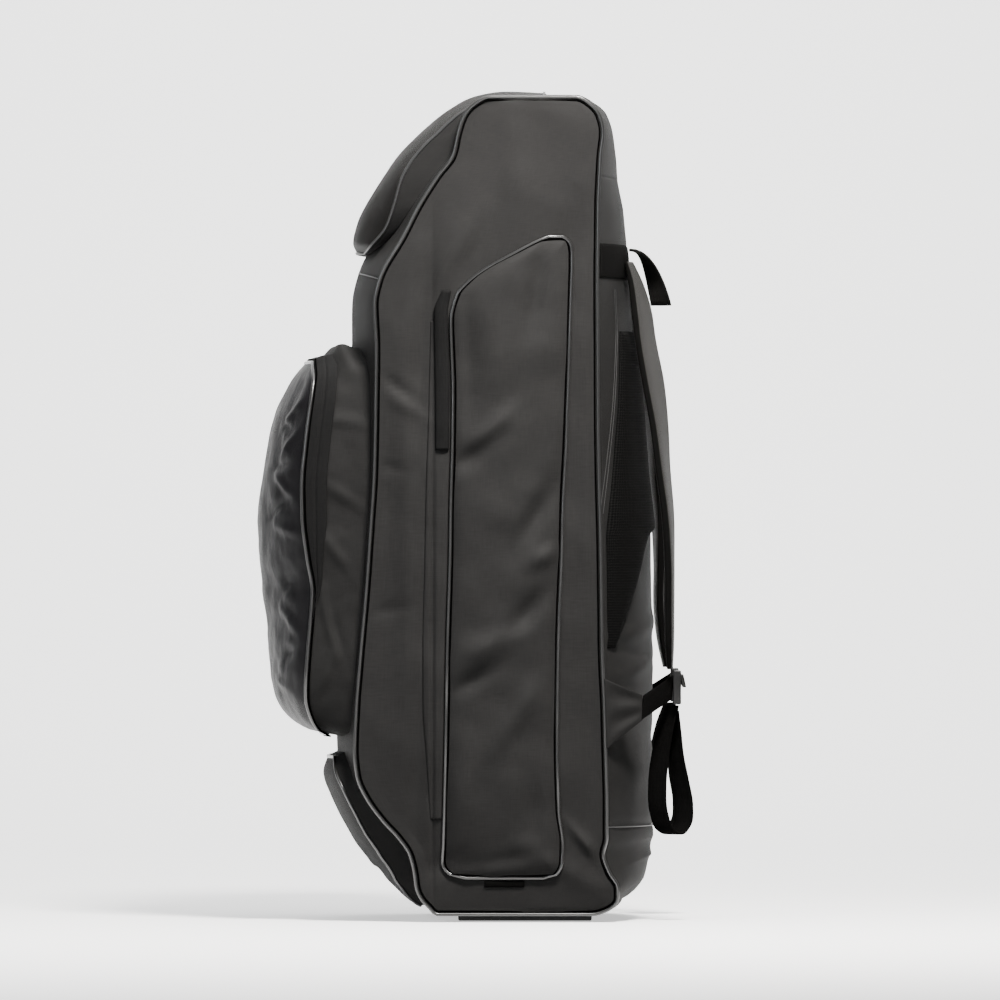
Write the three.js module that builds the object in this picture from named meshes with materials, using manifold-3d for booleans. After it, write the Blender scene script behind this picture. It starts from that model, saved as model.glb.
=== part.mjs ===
// A tall standing kit bag for cricket, in millimetres.
// Its front faces -Y, its back with the shoulder straps faces +Y, and it stands on Z = 0.
// Two flat side panels are joined by one long strip that runs up the front, over the top,
// down the back and under the base. The pockets stand on that strip and on the side panels.

import * as THREE from 'three';
import { mergeVertices } from 'three/addons/utils/BufferGeometryUtils.js';
import Module from 'manifold-3d';

const wasm = await Module();
wasm.setup();

// Main sizes
const SIDE_HEIGHT = 915;
const SIDE_DEPTH = 283;
const BODY_WIDTH = 340;
const FRONT_CROWN = 29;
const BACK_CROWN = 58;
const SIDE_CROWN = 7;
const BODY_OFFSET_Y = -138;

// Cloth, cord and gaps
const CLOTH = 2;
const PIPING_RADIUS = 2.2;
const GAP = 0.3;
const SEAM = PIPING_RADIUS + GAP;
const ROOT_DEPTH = 4;

// Pockets: how far they stand out, and the swell of their faces
const FRONT_POCKET_DEPTH = 76;
const FRONT_POCKET_SWELL = 32;
const FRONT_POCKET_HALF_WIDTH = 155;
const BOOT_POCKET_DEPTH = 25;
const BOOT_POCKET_SWELL = 5;
const BOOT_POCKET_HALF_WIDTH = 152;
const LID_DEPTH = 29;
const LID_SWELL = 13;
const LID_HALF_WIDTH = 152;
const LID_PADDING = 3;
const BAT_POCKET_RAISE = 11;
const ZIP_WIDTH = 26;
const ZIP_THICKNESS = 1.5;

// Straps and fittings
const STRAP_WIDTH = 66;
const STRAP_THICKNESS = 11;
const STRAP_SPREAD = 112;
const WEB_WIDTH = 28;
const WEB_THICKNESS = 2;
const TAIL_DROP = 138;
const TAIL_REACH = 29;
const TAIL_TURN = THREE.MathUtils.degToRad(18);
const HAUL_SPREAD = 19;
const HAUL_DROP = 62;
const HAUL_WIDTH = 25;
const YOKE_HEIGHT = 39;
const PAD_THICKNESS = 6;
const BUCKLE_LENGTH = 38;
const BUCKLE_WIDTH = 38;
const BUCKLE_THICKNESS = 9;
const BUCKLE_FRAME = 5;
const BUCKLE_SHIFT = 7.5;
const RUNNER_LENGTH = 150;
const RUNNER_WIDTH = 26;
const RUNNER_HEIGHT = 7.9;
const RUNNER_TRACK = 190;
const RUNNER_BACK_SHARE = 0.94;

const HALF_WIDTH = BODY_WIDTH / 2;
const BASE_LIFT = RUNNER_HEIGHT + GAP;

// Sections of the body from its base up. Heights are shares of SIDE_HEIGHT, the seams in
// front and behind are shares of SIDE_DEPTH, and the crowns are shares of the two crowns.
const SECTION_COLUMNS = ['height', 'front', 'rear', 'frontCrown', 'backCrown'];
const SECTIONS = [
  [0.000, 0.327, 0.939, 0.00, 0.00],
  [0.008, 0.297, 1.018, 0.12, 0.08],
  [0.019, 0.265, 1.044, 0.23, 0.12],
  [0.032, 0.246, 1.044, 0.31, 0.33],
  [0.052, 0.237, 1.008, 0.38, 0.81],
  [0.074, 0.218, 0.986, 0.46, 0.96],
  [0.093, 0.176, 1.000, 0.54, 0.92],
  [0.115, 0.111, 1.000, 0.62, 0.92],
  [0.142, 0.048, 1.000, 0.69, 0.92],
  [0.169, 0.010, 0.998, 0.73, 0.92],
  [0.201, 0.000, 0.995, 0.73, 0.94],
  [0.250, 0.006, 0.991, 0.81, 0.96],
  [0.324, 0.025, 0.981, 0.96, 1.00],
  [0.396, 0.046, 0.978, 0.96, 1.00],
  [0.470, 0.063, 0.974, 0.96, 1.00],
  [0.543, 0.078, 0.968, 0.96, 0.90],
  [0.616, 0.083, 0.965, 0.96, 0.83],
  [0.696, 0.086, 0.964, 1.00, 0.71],
  [0.746, 0.079, 0.963, 0.92, 0.65],
  [0.777, 0.099, 0.963, 0.92, 0.62],
  [0.830, 0.194, 0.965, 0.92, 0.56],
  [0.867, 0.255, 0.966, 0.92, 0.50],
  [0.903, 0.329, 0.971, 0.92, 0.38],
  [0.930, 0.392, 0.976, 0.85, 0.28],
  [0.956, 0.411, 0.985, 0.69, 0.15],
  [0.978, 0.436, 0.970, 0.36, 0.10],
  [0.991, 0.473, 0.935, 0.18, 0.05],
  [1.000, 0.535, 0.879, 0.06, 0.02],
].map((row) => named(SECTION_COLUMNS, row));

// The front pocket from its lower end up. Depth and swell are shares of its sizes, wide is a
// share of its half width, and root is the height on the body that its wall is sewn to.
const POCKET_COLUMNS = ['height', 'wide', 'depth', 'swell', 'root'];
const FRONT_POCKET = [
  [0.222, 0.72, 0.17, 0.00, 0.220],
  [0.226, 0.88, 0.30, 0.00, 0.221],
  [0.241, 0.95, 0.47, 0.17, 0.230],
  [0.262, 0.98, 0.62, 0.28, 0.256],
  [0.291, 1.00, 0.69, 0.50, 0.290],
  [0.343, 1.00, 0.71, 0.74, 0.343],
  [0.387, 1.00, 0.72, 1.00, 0.387],
  [0.433, 1.00, 0.84, 0.93, 0.433],
  [0.482, 1.00, 0.95, 0.79, 0.482],
  [0.530, 1.00, 0.99, 0.64, 0.530],
  [0.574, 0.99, 0.95, 0.58, 0.576],
  [0.618, 0.97, 0.88, 0.42, 0.624],
  [0.652, 0.90, 0.79, 0.16, 0.668],
  [0.675, 0.66, 0.69, 0.00, 0.692],
].map((row) => named(POCKET_COLUMNS, row));

const BOOT_POCKET = [
  [0.014, 0.74, 0.46, 0.00, 0.011],
  [0.031, 0.88, 0.55, 0.30, 0.028],
  [0.048, 0.95, 0.66, 0.50, 0.046],
  [0.082, 0.98, 1.00, 0.40, 0.082],
  [0.112, 1.00, 0.90, 0.50, 0.112],
  [0.138, 1.00, 0.74, 0.50, 0.138],
  [0.160, 0.98, 0.72, 0.40, 0.160],
  [0.176, 0.90, 0.60, 0.30, 0.180],
  [0.193, 0.74, 0.44, 0.00, 0.199],
].map((row) => named(POCKET_COLUMNS, row));

// The lid runs up the slope and then along the flat top, where height is over 1 and counts
// the share of that flat.
const LID = [
  [0.795, 0.42, 0.38, 0.00, 0.800],
  [0.806, 0.66, 0.45, 0.50, 0.812],
  [0.823, 0.78, 0.48, 0.75, 0.829],
  [0.848, 0.86, 0.52, 0.60, 0.852],
  [0.885, 0.92, 0.60, 0.25, 0.885],
  [0.912, 0.95, 0.56, 0.15, 0.912],
  [0.949, 0.97, 0.37, 0.08, 0.949],
  [0.979, 0.97, 0.27, 0.08, 0.979],
  [0.998, 0.96, 0.25, 0.06, 0.998],
  [1.400, 0.95, 0.25, 0.06, 1.400],
  [1.800, 0.90, 0.25, 0.00, 1.830],
].map((row) => named(POCKET_COLUMNS, row));

// The bat pocket on each side panel: heights and seams as shares of the side panel.
const BAT_COLUMNS = ['height', 'front', 'rear', 'raise'];
const BAT_POCKET = [
  [0.0445, 0.440, 0.747, 0.35],
  [0.0500, 0.384, 0.796, 0.60],
  [0.0610, 0.347, 0.820, 0.80],
  [0.0850, 0.352, 0.825, 0.95],
  [0.1280, 0.356, 0.809, 1.00],
  [0.2140, 0.362, 0.803, 1.00],
  [0.3240, 0.368, 0.807, 1.00],
  [0.4430, 0.379, 0.821, 1.00],
  [0.5070, 0.382, 0.827, 1.00],
  [0.5730, 0.388, 0.838, 1.00],
  [0.6400, 0.390, 0.846, 1.00],
  [0.7260, 0.382, 0.855, 1.00],
  [0.7580, 0.406, 0.858, 0.95],
  [0.7750, 0.455, 0.860, 0.85],
  [0.7910, 0.527, 0.861, 0.75],
  [0.8190, 0.697, 0.855, 0.60],
  [0.8290, 0.768, 0.824, 0.35],
].map((row) => named(BAT_COLUMNS, row));

// Zip flap in front of the bat pocket
const FLAP_COLUMNS = ['height', 'front', 'rear'];
const BAT_FLAP = [
  [0.568, 0.319, 0.374],
  [0.650, 0.317, 0.377],
  [0.735, 0.313, 0.370],
  [0.763, 0.345, 0.383],
].map((row) => named(FLAP_COLUMNS, row));

// Mesh back pad, right of the middle: inner and outer edge as shares of the half width.
const PAD_COLUMNS = ['height', 'inner', 'outer'];
const BACK_PAD = [
  [0.325, 0.88, 0.95],
  [0.371, 0.72, 0.95],
  [0.415, 0.56, 0.95],
  [0.461, 0.36, 0.95],
  [0.475, 0.08, 0.94],
  [0.555, 0.08, 0.84],
  [0.630, 0.08, 0.74],
  [0.714, 0.08, 0.64],
].map((row) => named(PAD_COLUMNS, row));

// Shoulder strap from its yoke down: spread is a share of STRAP_SPREAD, wide one of
// STRAP_WIDTH, thick one of STRAP_THICKNESS, and stand the distance off the back panel.
const STRAP_COLUMNS = ['height', 'spread', 'wide', 'thick', 'stand'];
const SHOULDER_STRAP = [
  [0.800, 0.52, 0.76, 0.45, 7.4],
  [0.778, 0.54, 0.80, 0.80, 13],
  [0.745, 0.60, 0.88, 1.00, 19],
  [0.700, 0.68, 0.96, 1.00, 22],
  [0.652, 0.76, 1.00, 1.00, 28],
  [0.600, 0.83, 1.00, 1.00, 32],
  [0.545, 0.89, 1.00, 1.00, 36],
  [0.485, 0.94, 1.00, 1.00, 37],
  [0.425, 0.97, 0.98, 1.00, 38],
  [0.370, 0.99, 0.92, 1.00, 39],
  [0.325, 1.00, 0.80, 0.90, 40],
  [0.296, 1.00, 0.62, 0.60, 41],
].map((row) => named(STRAP_COLUMNS, row));

// Loose tail of the strap under the buckle: back is a share of TAIL_REACH, measured from
// the buckle along Y, and drop is a share of TAIL_DROP.
const TAIL_COLUMNS = ['back', 'drop'];
const TAIL = [
  [-0.24, 0.00],
  [-0.55, 0.16],
  [-0.83, 0.38],
  [-1.00, 0.62],
  [-0.93, 0.84],
  [-0.59, 0.97],
  [-0.17, 1.00],
  [0.28, 0.93],
  [0.41, 0.78],
  [0.21, 0.58],
  [0.04, 0.40],
  [0.03, 0.20],
  [0.03, 0.04],
].map((row) => named(TAIL_COLUMNS, row));

const ACROSS_STEPS = 6;
const TOP_SECTION = SECTIONS.length - 1;
const STATION_COUNT = 2 * SECTIONS.length;
const LID_SEAM_INDEX = 19;
const REAR_TOP_INDEX = 22;

function named(columns, values) {
  return Object.fromEntries(columns.map((name, index) => [name, values[index]]));
}

function mix(a, b, share) {
  return a + (b - a) * share;
}

// Rounded swell across a strip: 1 in the middle and 0 at both seams
function dome(across) {
  return 1 - Math.abs(across) ** 2.2;
}

// The seam between side panel and strip, as a closed run of stations: up the front seam,
// over the top, down the rear seam, and back along the base.
const seamPoints = [
  ...SECTIONS.map((section) => seamPoint(section, section.front, section.frontCrown * FRONT_CROWN)),
  ...SECTIONS.map((section) => seamPoint(section, section.rear, section.backCrown * BACK_CROWN)).reverse(),
];

function seamPoint(section, depthShare, crown) {
  return {
    y: BODY_OFFSET_Y + depthShare * SIDE_DEPTH,
    z: BASE_LIFT + section.height * SIDE_HEIGHT,
    crown,
  };
}

function station(index) {
  return seamPoints[(index + STATION_COUNT) % STATION_COUNT];
}

// Unit normal of the seam at a station, pointing out of the bag
function seamNormal(index) {
  const before = station(index - 1);
  const after = station(index + 1);
  return new THREE.Vector3(0, before.z - after.z, after.y - before.y).normalize();
}

function skinAtStation(index, across, lift) {
  const point = station(index);
  const normal = seamNormal(index);
  const rise = point.crown * dome(across) + lift;
  return new THREE.Vector3(across * HALF_WIDTH, point.y, point.z).addScaledVector(normal, rise);
}

// A point on the strip: place counts stations, across runs from -1 to 1, and lift is the
// distance off the cloth.
function skin(place, across, lift) {
  const index = Math.floor(place);
  return skinAtStation(index, across, lift).lerp(skinAtStation(index + 1, across, lift), place - index);
}

// Places of a height on the front run and on the rear run
function frontPlace(height) {
  if (height > 1) {
    return TOP_SECTION + (height - 1);
  }
  let index = 0;
  while (index < TOP_SECTION - 1 && SECTIONS[index + 1].height < height) {
    index += 1;
  }
  const low = SECTIONS[index].height;
  return index + (height - low) / (SECTIONS[index + 1].height - low);
}

function rearPlace(height) {
  return STATION_COUNT - 1 - frontPlace(height);
}

// A closed solid from a geometry whose vertices are moved to where place says
function reshaped(geometry, place) {
  const position = geometry.attributes.position;
  for (let index = 0; index < position.count; index += 1) {
    const corner = new THREE.Vector3().fromBufferAttribute(position, index).addScalar(0.5);
    const target = place(corner.x, corner.y, corner.z);
    position.setXYZ(index, target.x, target.y, target.z);
  }
  return closed(geometry);
}

function closed(geometry) {
  geometry.deleteAttribute('normal');
  geometry.deleteAttribute('uv');
  const merged = mergeVertices(geometry, 1e-3);
  if (volume(merged) < 0) {
    const index = merged.index.array;
    for (let corner = 0; corner < index.length; corner += 3) {
      [index[corner], index[corner + 1]] = [index[corner + 1], index[corner]];
    }
  }
  return merged;
}

function volume(geometry) {
  const corners = [0, 1, 2].map(() => new THREE.Vector3());
  const index = geometry.index.array;
  const position = geometry.attributes.position;
  let total = 0;
  for (let start = 0; start < index.length; start += 3) {
    corners.forEach((corner, offset) => corner.fromBufferAttribute(position, index[start + offset]));
    total += corners[0].dot(corners[1].clone().cross(corners[2])) / 6;
  }
  return total;
}

// A slab of cloth: place gets the step along, the step across and the side of the cloth,
// 0 inside or 1 outside.
function slab(along, across, place) {
  const box = new THREE.BoxGeometry(1, 1, 1, along, across, 1);
  return reshaped(box, (u, v, w) => place(Math.round(u * along), Math.round(v * across), Math.round(w)));
}

// A closed ring: place gets the step around and the step about the section
function ring(around, section, place) {
  const sheet = new THREE.PlaneGeometry(1, 1, around, section);
  return reshaped(sheet, (u, v) => (
    place(Math.round(u * around) % around, Math.round(v * section) % section)
  ));
}

// Cord sewn along a closed run of points
function pipingRing(points, sides, radius = PIPING_RADIUS) {
  const count = points.length;
  const middle = points.reduce((sum, point) => sum.add(point), new THREE.Vector3()).divideScalar(count);
  return ring(count, sides, (step, corner) => {
    const before = points[(step - 1 + count) % count];
    const after = points[(step + 1) % count];
    const tangent = after.clone().sub(before).normalize();
    const outward = points[step].clone().sub(middle).cross(tangent).normalize();
    const level = tangent.clone().cross(outward).normalize();
    const angle = (2 * Math.PI * (corner + 0.5)) / sides;
    return points[step].clone()
      .addScaledVector(outward, radius * Math.cos(angle))
      .addScaledVector(level, radius * Math.sin(angle));
  });
}

// Boolean work on closed meshes
function toManifold(geometry) {
  return new wasm.Manifold(new wasm.Mesh({
    numProp: 3,
    vertProperties: new Float32Array(geometry.attributes.position.array),
    triVerts: new Uint32Array(geometry.index.array),
  }));
}

function fromManifold(manifold) {
  const mesh = manifold.getMesh();
  const geometry = new THREE.BufferGeometry();
  geometry.setAttribute('position', new THREE.BufferAttribute(new Float32Array(mesh.vertProperties), 3));
  geometry.setIndex(new THREE.BufferAttribute(new Uint32Array(mesh.triVerts), 1));
  return geometry;
}

// Strip panels
const STRIP_REACH = (HALF_WIDTH - SEAM) / HALF_WIDTH;

function stripPanel(first, last, growth = 0) {
  const steps = last - first;
  return slab(steps, ACROSS_STEPS, (along, across, side) => {
    const trim = (along === 0 ? GAP : 0) - (along === steps ? GAP : 0);
    const lift = (side - 1) * CLOTH + side * growth;
    const here = skinAtStation(first + along, ((2 * across) / ACROSS_STEPS - 1) * STRIP_REACH, lift);
    const run = seamNormal(first + along);
    return here.add(new THREE.Vector3(0, run.z, -run.y).multiplyScalar(trim));
  });
}

const REAR_TOP = STATION_COUNT - 1 - REAR_TOP_INDEX;

// The body as one block, GAP larger than its cloth, that the pockets are trimmed to
const bodyBlock = toManifold(slab(TOP_SECTION, ACROSS_STEPS, (along, across, side) => {
  const place = side === 0 ? along : STATION_COUNT - 1 - along;
  return skinAtStation(place, (2 * across) / ACROSS_STEPS - 1, GAP);
}));
const stripBlocks = [
  stripPanel(0, LID_SEAM_INDEX, GAP),
  stripPanel(LID_SEAM_INDEX, REAR_TOP, GAP),
  stripPanel(REAR_TOP, STATION_COUNT - 1, GAP),
].map(toManifold);

function seated(geometry) {
  const outside = toManifold(geometry).subtract(bodyBlock);
  return fromManifold(stripBlocks.reduce((rest, block) => rest.subtract(block), outside));
}

// What is left of a piece beside a piping of PIPING_RADIUS along the points
function besidePiping(geometry, points, sides) {
  const room = pipingRing(points, sides, PIPING_RADIUS + GAP);
  return fromManifold(toManifold(geometry).subtract(toManifold(room)));
}

// Flat strap through rows that hold a centre, a side direction, a width and a thickness
function strap(rows) {
  return slab(rows.length - 1, 1, (along, across, face) => {
    const row = rows[along];
    const before = rows[Math.max(along - 1, 0)].centre;
    const after = rows[Math.min(along + 1, rows.length - 1)].centre;
    const tangent = after.clone().sub(before).normalize();
    const normal = tangent.clone().cross(row.side).normalize();
    return row.centre.clone()
      .addScaledVector(row.side, (across - 0.5) * row.width)
      .addScaledVector(normal, (face - 0.5) * row.thickness);
  });
}

const bag = new THREE.Group();

function add(name, geometry, finish) {
  const material = new THREE.MeshStandardMaterial({ ...finish });
  const mesh = new THREE.Mesh(geometry, material);
  mesh.name = name;
  bag.add(mesh);
}

const POLYESTER = { color: 0x3b3b3c, roughness: 0.82, metalness: 0 };
const SATIN = { color: 0x323033, roughness: 0.5, metalness: 0 };
const PIPING = { color: 0x1a1a1b, roughness: 0.35, metalness: 0 };
const WEBBING = { color: 0x1d1c1b, roughness: 0.9, metalness: 0 };
const SPACER_MESH = { color: 0x242524, roughness: 0.95, metalness: 0 };
const ZIP = { color: 0x202021, roughness: 0.7, metalness: 0 };
const PLASTIC = { color: 0x101011, roughness: 0.25, metalness: 0 };

// Strip panels
add('front_panel', stripPanel(0, LID_SEAM_INDEX), POLYESTER);
add('top_panel', stripPanel(LID_SEAM_INDEX, REAR_TOP), POLYESTER);
add('back_panel', stripPanel(REAR_TOP, STATION_COUNT - 1), POLYESTER);
add('base_panel', stripPanel(STATION_COUNT - 1, STATION_COUNT), POLYESTER);

// Side panels: rows from the front seam to the rear seam, with a soft swell
const SIDE_ACROSS_STEPS = 4;
const SIDE_PIPING_SIDES = 4;

function sidePoint(place, share, lift, side) {
  const front = insetSeam(place);
  const rear = insetSeam(STATION_COUNT - 1 - place);
  const height = place / TOP_SECTION;
  const swell = SIDE_CROWN * Math.sin(Math.PI * share) * Math.sin(Math.PI * height) ** 0.5;
  const point = front.lerp(rear, share);
  point.x = side * (HALF_WIDTH + swell + lift);
  return point;
}

function insetSeam(place) {
  const index = Math.min(Math.floor(place), STATION_COUNT - 2);
  const points = [index, index + 1].map((number) => {
    const normal = seamNormal(number);
    return new THREE.Vector3(0, station(number).y, station(number).z).addScaledVector(normal, -SEAM);
  });
  return points[0].lerp(points[1], place - index);
}

function sidePanel(side) {
  return slab(TOP_SECTION, SIDE_ACROSS_STEPS, (along, across, face) => (
    sidePoint(along, across / SIDE_ACROSS_STEPS, (face - 1) * CLOTH, side)
  ));
}

function bodyPiping(side) {
  const points = seamPoints.map((point) => new THREE.Vector3(side * HALF_WIDTH, point.y, point.z));
  return pipingRing(points, SIDE_PIPING_SIDES);
}

// Bat pocket, its piping and the zip flap beside it, on a side panel
function sideSurface(height, depthShare, lift, side) {
  const place = frontPlace(height);
  const front = insetSeam(place);
  const rear = insetSeam(STATION_COUNT - 1 - place);
  const y = BODY_OFFSET_Y + depthShare * SIDE_DEPTH;
  const share = (y - front.y) / (rear.y - front.y);
  const onPanel = sidePoint(place, share, lift, side);
  return new THREE.Vector3(onPanel.x, y, BASE_LIFT + height * SIDE_HEIGHT);
}

const BAT_PIPING_SIDES = 4;
const BAT_CLOTH = [
  { share: 0, raise: 0.35 },
  { share: 0.08, raise: 0.95 },
  { share: 0.5, raise: 1 },
  { share: 0.92, raise: 0.95 },
  { share: 1, raise: 0.35 },
];

function batPocket(side) {
  const last = BAT_POCKET.length - 1;
  const cloth = slab(last, BAT_CLOTH.length - 1, (along, across, face) => {
    const row = BAT_POCKET[along];
    const inset = SEAM / SIDE_DEPTH;
    const column = BAT_CLOTH[across];
    const depth = mix(row.front + inset, row.rear - inset, column.share);
    const shift = (along === 0 ? SEAM : 0) - (along === last ? SEAM : 0);
    const raise = GAP * 3 + CLOTH + (BAT_POCKET_RAISE - CLOTH) * row.raise * column.raise;
    const point = sideSurface(row.height, depth, raise + (face - 1) * CLOTH, side);
    point.z += shift;
    return point;
  });
  return besidePiping(cloth, batSeam(side), BAT_PIPING_SIDES);
}

function batSeam(side) {
  const lift = PIPING_RADIUS + GAP * 3;
  const up = BAT_POCKET.map((row) => sideSurface(row.height, row.front, lift, side));
  const down = BAT_POCKET.map((row) => sideSurface(row.height, row.rear, lift, side)).reverse();
  return [...up, ...down];
}

function batFlap(side) {
  return slab(BAT_FLAP.length - 1, 1, (along, across, face) => {
    const row = BAT_FLAP[along];
    return sideSurface(row.height, across === 0 ? row.front : row.rear, GAP * 2 + face * CLOTH * 1.5, side);
  });
}

// Small tab sewn over the join of the bat pocket's piping
const TAB_LENGTH = 45;
const TAB_HEIGHT = 7;

function batTab(side) {
  const foot = BAT_POCKET[0];
  const middle = (foot.front + foot.rear) / 2;
  const reach = TAB_LENGTH / 2 / SIDE_DEPTH;
  const top = foot.height - (PIPING_RADIUS + GAP) / SIDE_HEIGHT;
  return slab(1, 1, (along, across, face) => (
    sideSurface(top - (1 - along) * (TAB_HEIGHT / SIDE_HEIGHT), middle + (across === 0 ? -reach : reach),
      GAP * 2 + face * CLOTH, side)
  ));
}

// A pocket on the strip: a face, a wall around it and the piping between them
const END_STEPS = 4;
const POCKET_PIPING_SIDES = 4;

function pocketLoop(rows, halfWidth, point) {
  const wides = rows.map((row) => (row.wide * halfWidth) / HALF_WIDTH);
  const last = rows.length - 1;
  const loop = [];
  rows.forEach((row, index) => loop.push(point(row, wides[index])));
  for (let step = 1; step < END_STEPS; step += 1) {
    loop.push(point(rows[last], wides[last] * (1 - (2 * step) / END_STEPS)));
  }
  rows.slice().reverse().forEach((row, index) => loop.push(point(row, -wides[last - index])));
  for (let step = 1; step < END_STEPS; step += 1) {
    loop.push(point(rows[0], wides[0] * ((2 * step) / END_STEPS - 1)));
  }
  return loop;
}

function pocketSeam(rows, size) {
  return pocketLoop(rows, size.halfWidth, (row, across) => (
    skin(frontPlace(row.height), across, row.depth * size.depth)
  ));
}

function pocketRoot(rows, size) {
  return pocketLoop(rows, size.halfWidth, (row, across) => (
    skin(frontPlace(row.root), across * size.rootSpread, -ROOT_DEPTH)
  ));
}

function pocketFaceSlab(rows, size, growth) {
  const last = rows.length - 1;
  return slab(last, ACROSS_STEPS, (along, across, face) => {
    const row = rows[along];
    const share = (2 * across) / ACROSS_STEPS - 1;
    const wide = (row.wide * size.halfWidth - SEAM + growth) / HALF_WIDTH;
    const cloth = (face - 1) * size.wall + (2 * face - 1) * growth;
    const lift = row.depth * size.depth + row.swell * size.swell * dome(share) + cloth;
    const here = skin(frontPlace(row.height), share * wide, lift);
    const run = seamNormal(Math.round(frontPlace(row.height)));
    const trim = ((along === 0 ? 1 : 0) - (along === last ? 1 : 0)) * (SEAM - growth);
    return here.add(new THREE.Vector3(0, run.z, -run.y).multiplyScalar(trim));
  });
}

function pocketFace(rows, size) {
  return besidePiping(pocketFaceSlab(rows, size, 0), pocketSeam(rows, size), POCKET_PIPING_SIDES);
}

function pocketWall(rows, size) {
  const edge = pocketSeam(rows, size);
  const root = pocketRoot(rows, size);
  const count = edge.length;
  const middle = edge.reduce((sum, point) => sum.add(point), new THREE.Vector3()).divideScalar(count);
  const folds = [1, 1, 0.5, 0, 0, 0.5];
  const wall = seated(ring(count, folds.length, (step, corner) => {
    const wallRun = edge[step].clone().sub(root[step]);
    const length = wallRun.length();
    const tangent = edge[(step + 1) % count].clone().sub(edge[(step - 1 + count) % count]).normalize();
    const outward = tangent.clone().cross(wallRun).normalize();
    if (outward.dot(edge[step].clone().sub(middle)) < 0) {
      outward.negate();
    }
    const reach = folds[corner] * (1 - SEAM / length);
    const outer = corner === 1 || corner === 2 || corner === 3;
    const crease = folds[corner] === 0.5 ? size.crease : 0;
    return root[step].clone()
      .addScaledVector(wallRun, reach)
      .addScaledVector(outward, (outer ? 0 : -CLOTH) - crease);
  }));
  const faceRoom = toManifold(pocketFaceSlab(rows, size, GAP));
  return besidePiping(fromManifold(toManifold(wall).subtract(faceRoom)), edge, POCKET_PIPING_SIDES);
}

function pocketPiping(rows, size) {
  return pipingRing(pocketSeam(rows, size), POCKET_PIPING_SIDES);
}

// Zip strip on the upper part of a pocket's wall, just behind its piping
function pocketZip(rows, size, firstRow) {
  const edge = pocketSeam(rows, size);
  const root = pocketRoot(rows, size);
  const middle = edge.reduce((sum, point) => sum.add(point), new THREE.Vector3()).divideScalar(edge.length);
  const steps = 2 * (rows.length - 1 - firstRow) + END_STEPS;
  return slab(steps, 1, (along, across, face) => {
    const step = firstRow + along;
    const wallRun = edge[step].clone().sub(root[step]);
    const tangent = edge[step + 1].clone().sub(edge[step - 1]).normalize();
    const outward = tangent.clone().cross(wallRun).normalize();
    if (outward.dot(edge[step].clone().sub(middle)) < 0) {
      outward.negate();
    }
    const narrowing = Math.min(1, (Math.min(along, steps - along) + 0.5) / 2);
    const setBack = SEAM + GAP + (across === 0 ? 0 : ZIP_WIDTH * narrowing);
    return root[step].clone()
      .addScaledVector(wallRun, 1 - setBack / wallRun.length())
      .addScaledVector(outward, GAP + face * ZIP_THICKNESS);
  });
}

const ZIP_START_INDEX = 6;

const frontPocket = {
  halfWidth: FRONT_POCKET_HALF_WIDTH,
  depth: FRONT_POCKET_DEPTH,
  swell: FRONT_POCKET_SWELL,
  wall: CLOTH,
  rootSpread: 1.03,
  crease: 2.5,
};
const bootPocket = {
  halfWidth: BOOT_POCKET_HALF_WIDTH,
  depth: BOOT_POCKET_DEPTH,
  swell: BOOT_POCKET_SWELL,
  wall: CLOTH,
  rootSpread: 1.03,
  crease: 0.8,
};
const lid = {
  halfWidth: LID_HALF_WIDTH,
  depth: LID_DEPTH,
  swell: LID_SWELL,
  wall: LID_PADDING,
  rootSpread: 1.02,
  crease: 0.8,
};

add('front_pocket_face', pocketFace(FRONT_POCKET, frontPocket), SATIN);
add('front_pocket_wall', pocketWall(FRONT_POCKET, frontPocket), POLYESTER);
add('front_pocket_piping', pocketPiping(FRONT_POCKET, frontPocket), PIPING);
add('front_pocket_zip', pocketZip(FRONT_POCKET, frontPocket, ZIP_START_INDEX), ZIP);
add('boot_pocket_face', pocketFace(BOOT_POCKET, bootPocket), POLYESTER);
add('boot_pocket_wall', pocketWall(BOOT_POCKET, bootPocket), SPACER_MESH);
add('boot_pocket_piping', pocketPiping(BOOT_POCKET, bootPocket), PIPING);
add('lid_face', pocketFace(LID, lid), SATIN);
add('lid_wall', pocketWall(LID, lid), ZIP);
add('lid_binding', pocketPiping(LID, lid), PIPING);

// Back pads of spacer mesh, trimmed to the back panel
function backPad(side) {
  return seated(slab(BACK_PAD.length - 1, 4, (along, across, face) => {
    const row = BACK_PAD[along];
    const share = across / 4;
    const rounded = Math.sin(Math.PI * mix(0.15, 0.85, share));
    const lift = face === 0 ? -ROOT_DEPTH : PAD_THICKNESS * rounded;
    return skin(rearPlace(row.height), side * mix(row.inner, row.outer, share), lift);
  }));
}

// Yoke across the back that carries the straps and the haul loop
const YOKE_TOP = 0.821;

function yoke() {
  const drop = YOKE_HEIGHT / SIDE_HEIGHT;
  return seated(slab(2, ACROSS_STEPS, (along, across, face) => {
    const share = ((2 * across) / ACROSS_STEPS - 1) * STRIP_REACH;
    return skin(rearPlace(YOKE_TOP - drop * (along / 2)), share, face === 0 ? -ROOT_DEPTH : CLOTH + GAP);
  }));
}

const X_AXIS = new THREE.Vector3(1, 0, 0);
const Z_AXIS = new THREE.Vector3(0, 0, 1);

function strapRow(row, side) {
  const across = (row.spread * STRAP_SPREAD) / HALF_WIDTH;
  return {
    centre: skin(rearPlace(row.height), side * across, row.stand),
    side: X_AXIS,
    width: row.wide * STRAP_WIDTH,
    thickness: row.thick * STRAP_THICKNESS,
  };
}

function shoulderStrap(side) {
  return strap(SHOULDER_STRAP.map((row) => strapRow(row, side)));
}

// The buckle hangs under the strap's end
const STRAP_END = SHOULDER_STRAP[SHOULDER_STRAP.length - 1];

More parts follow.
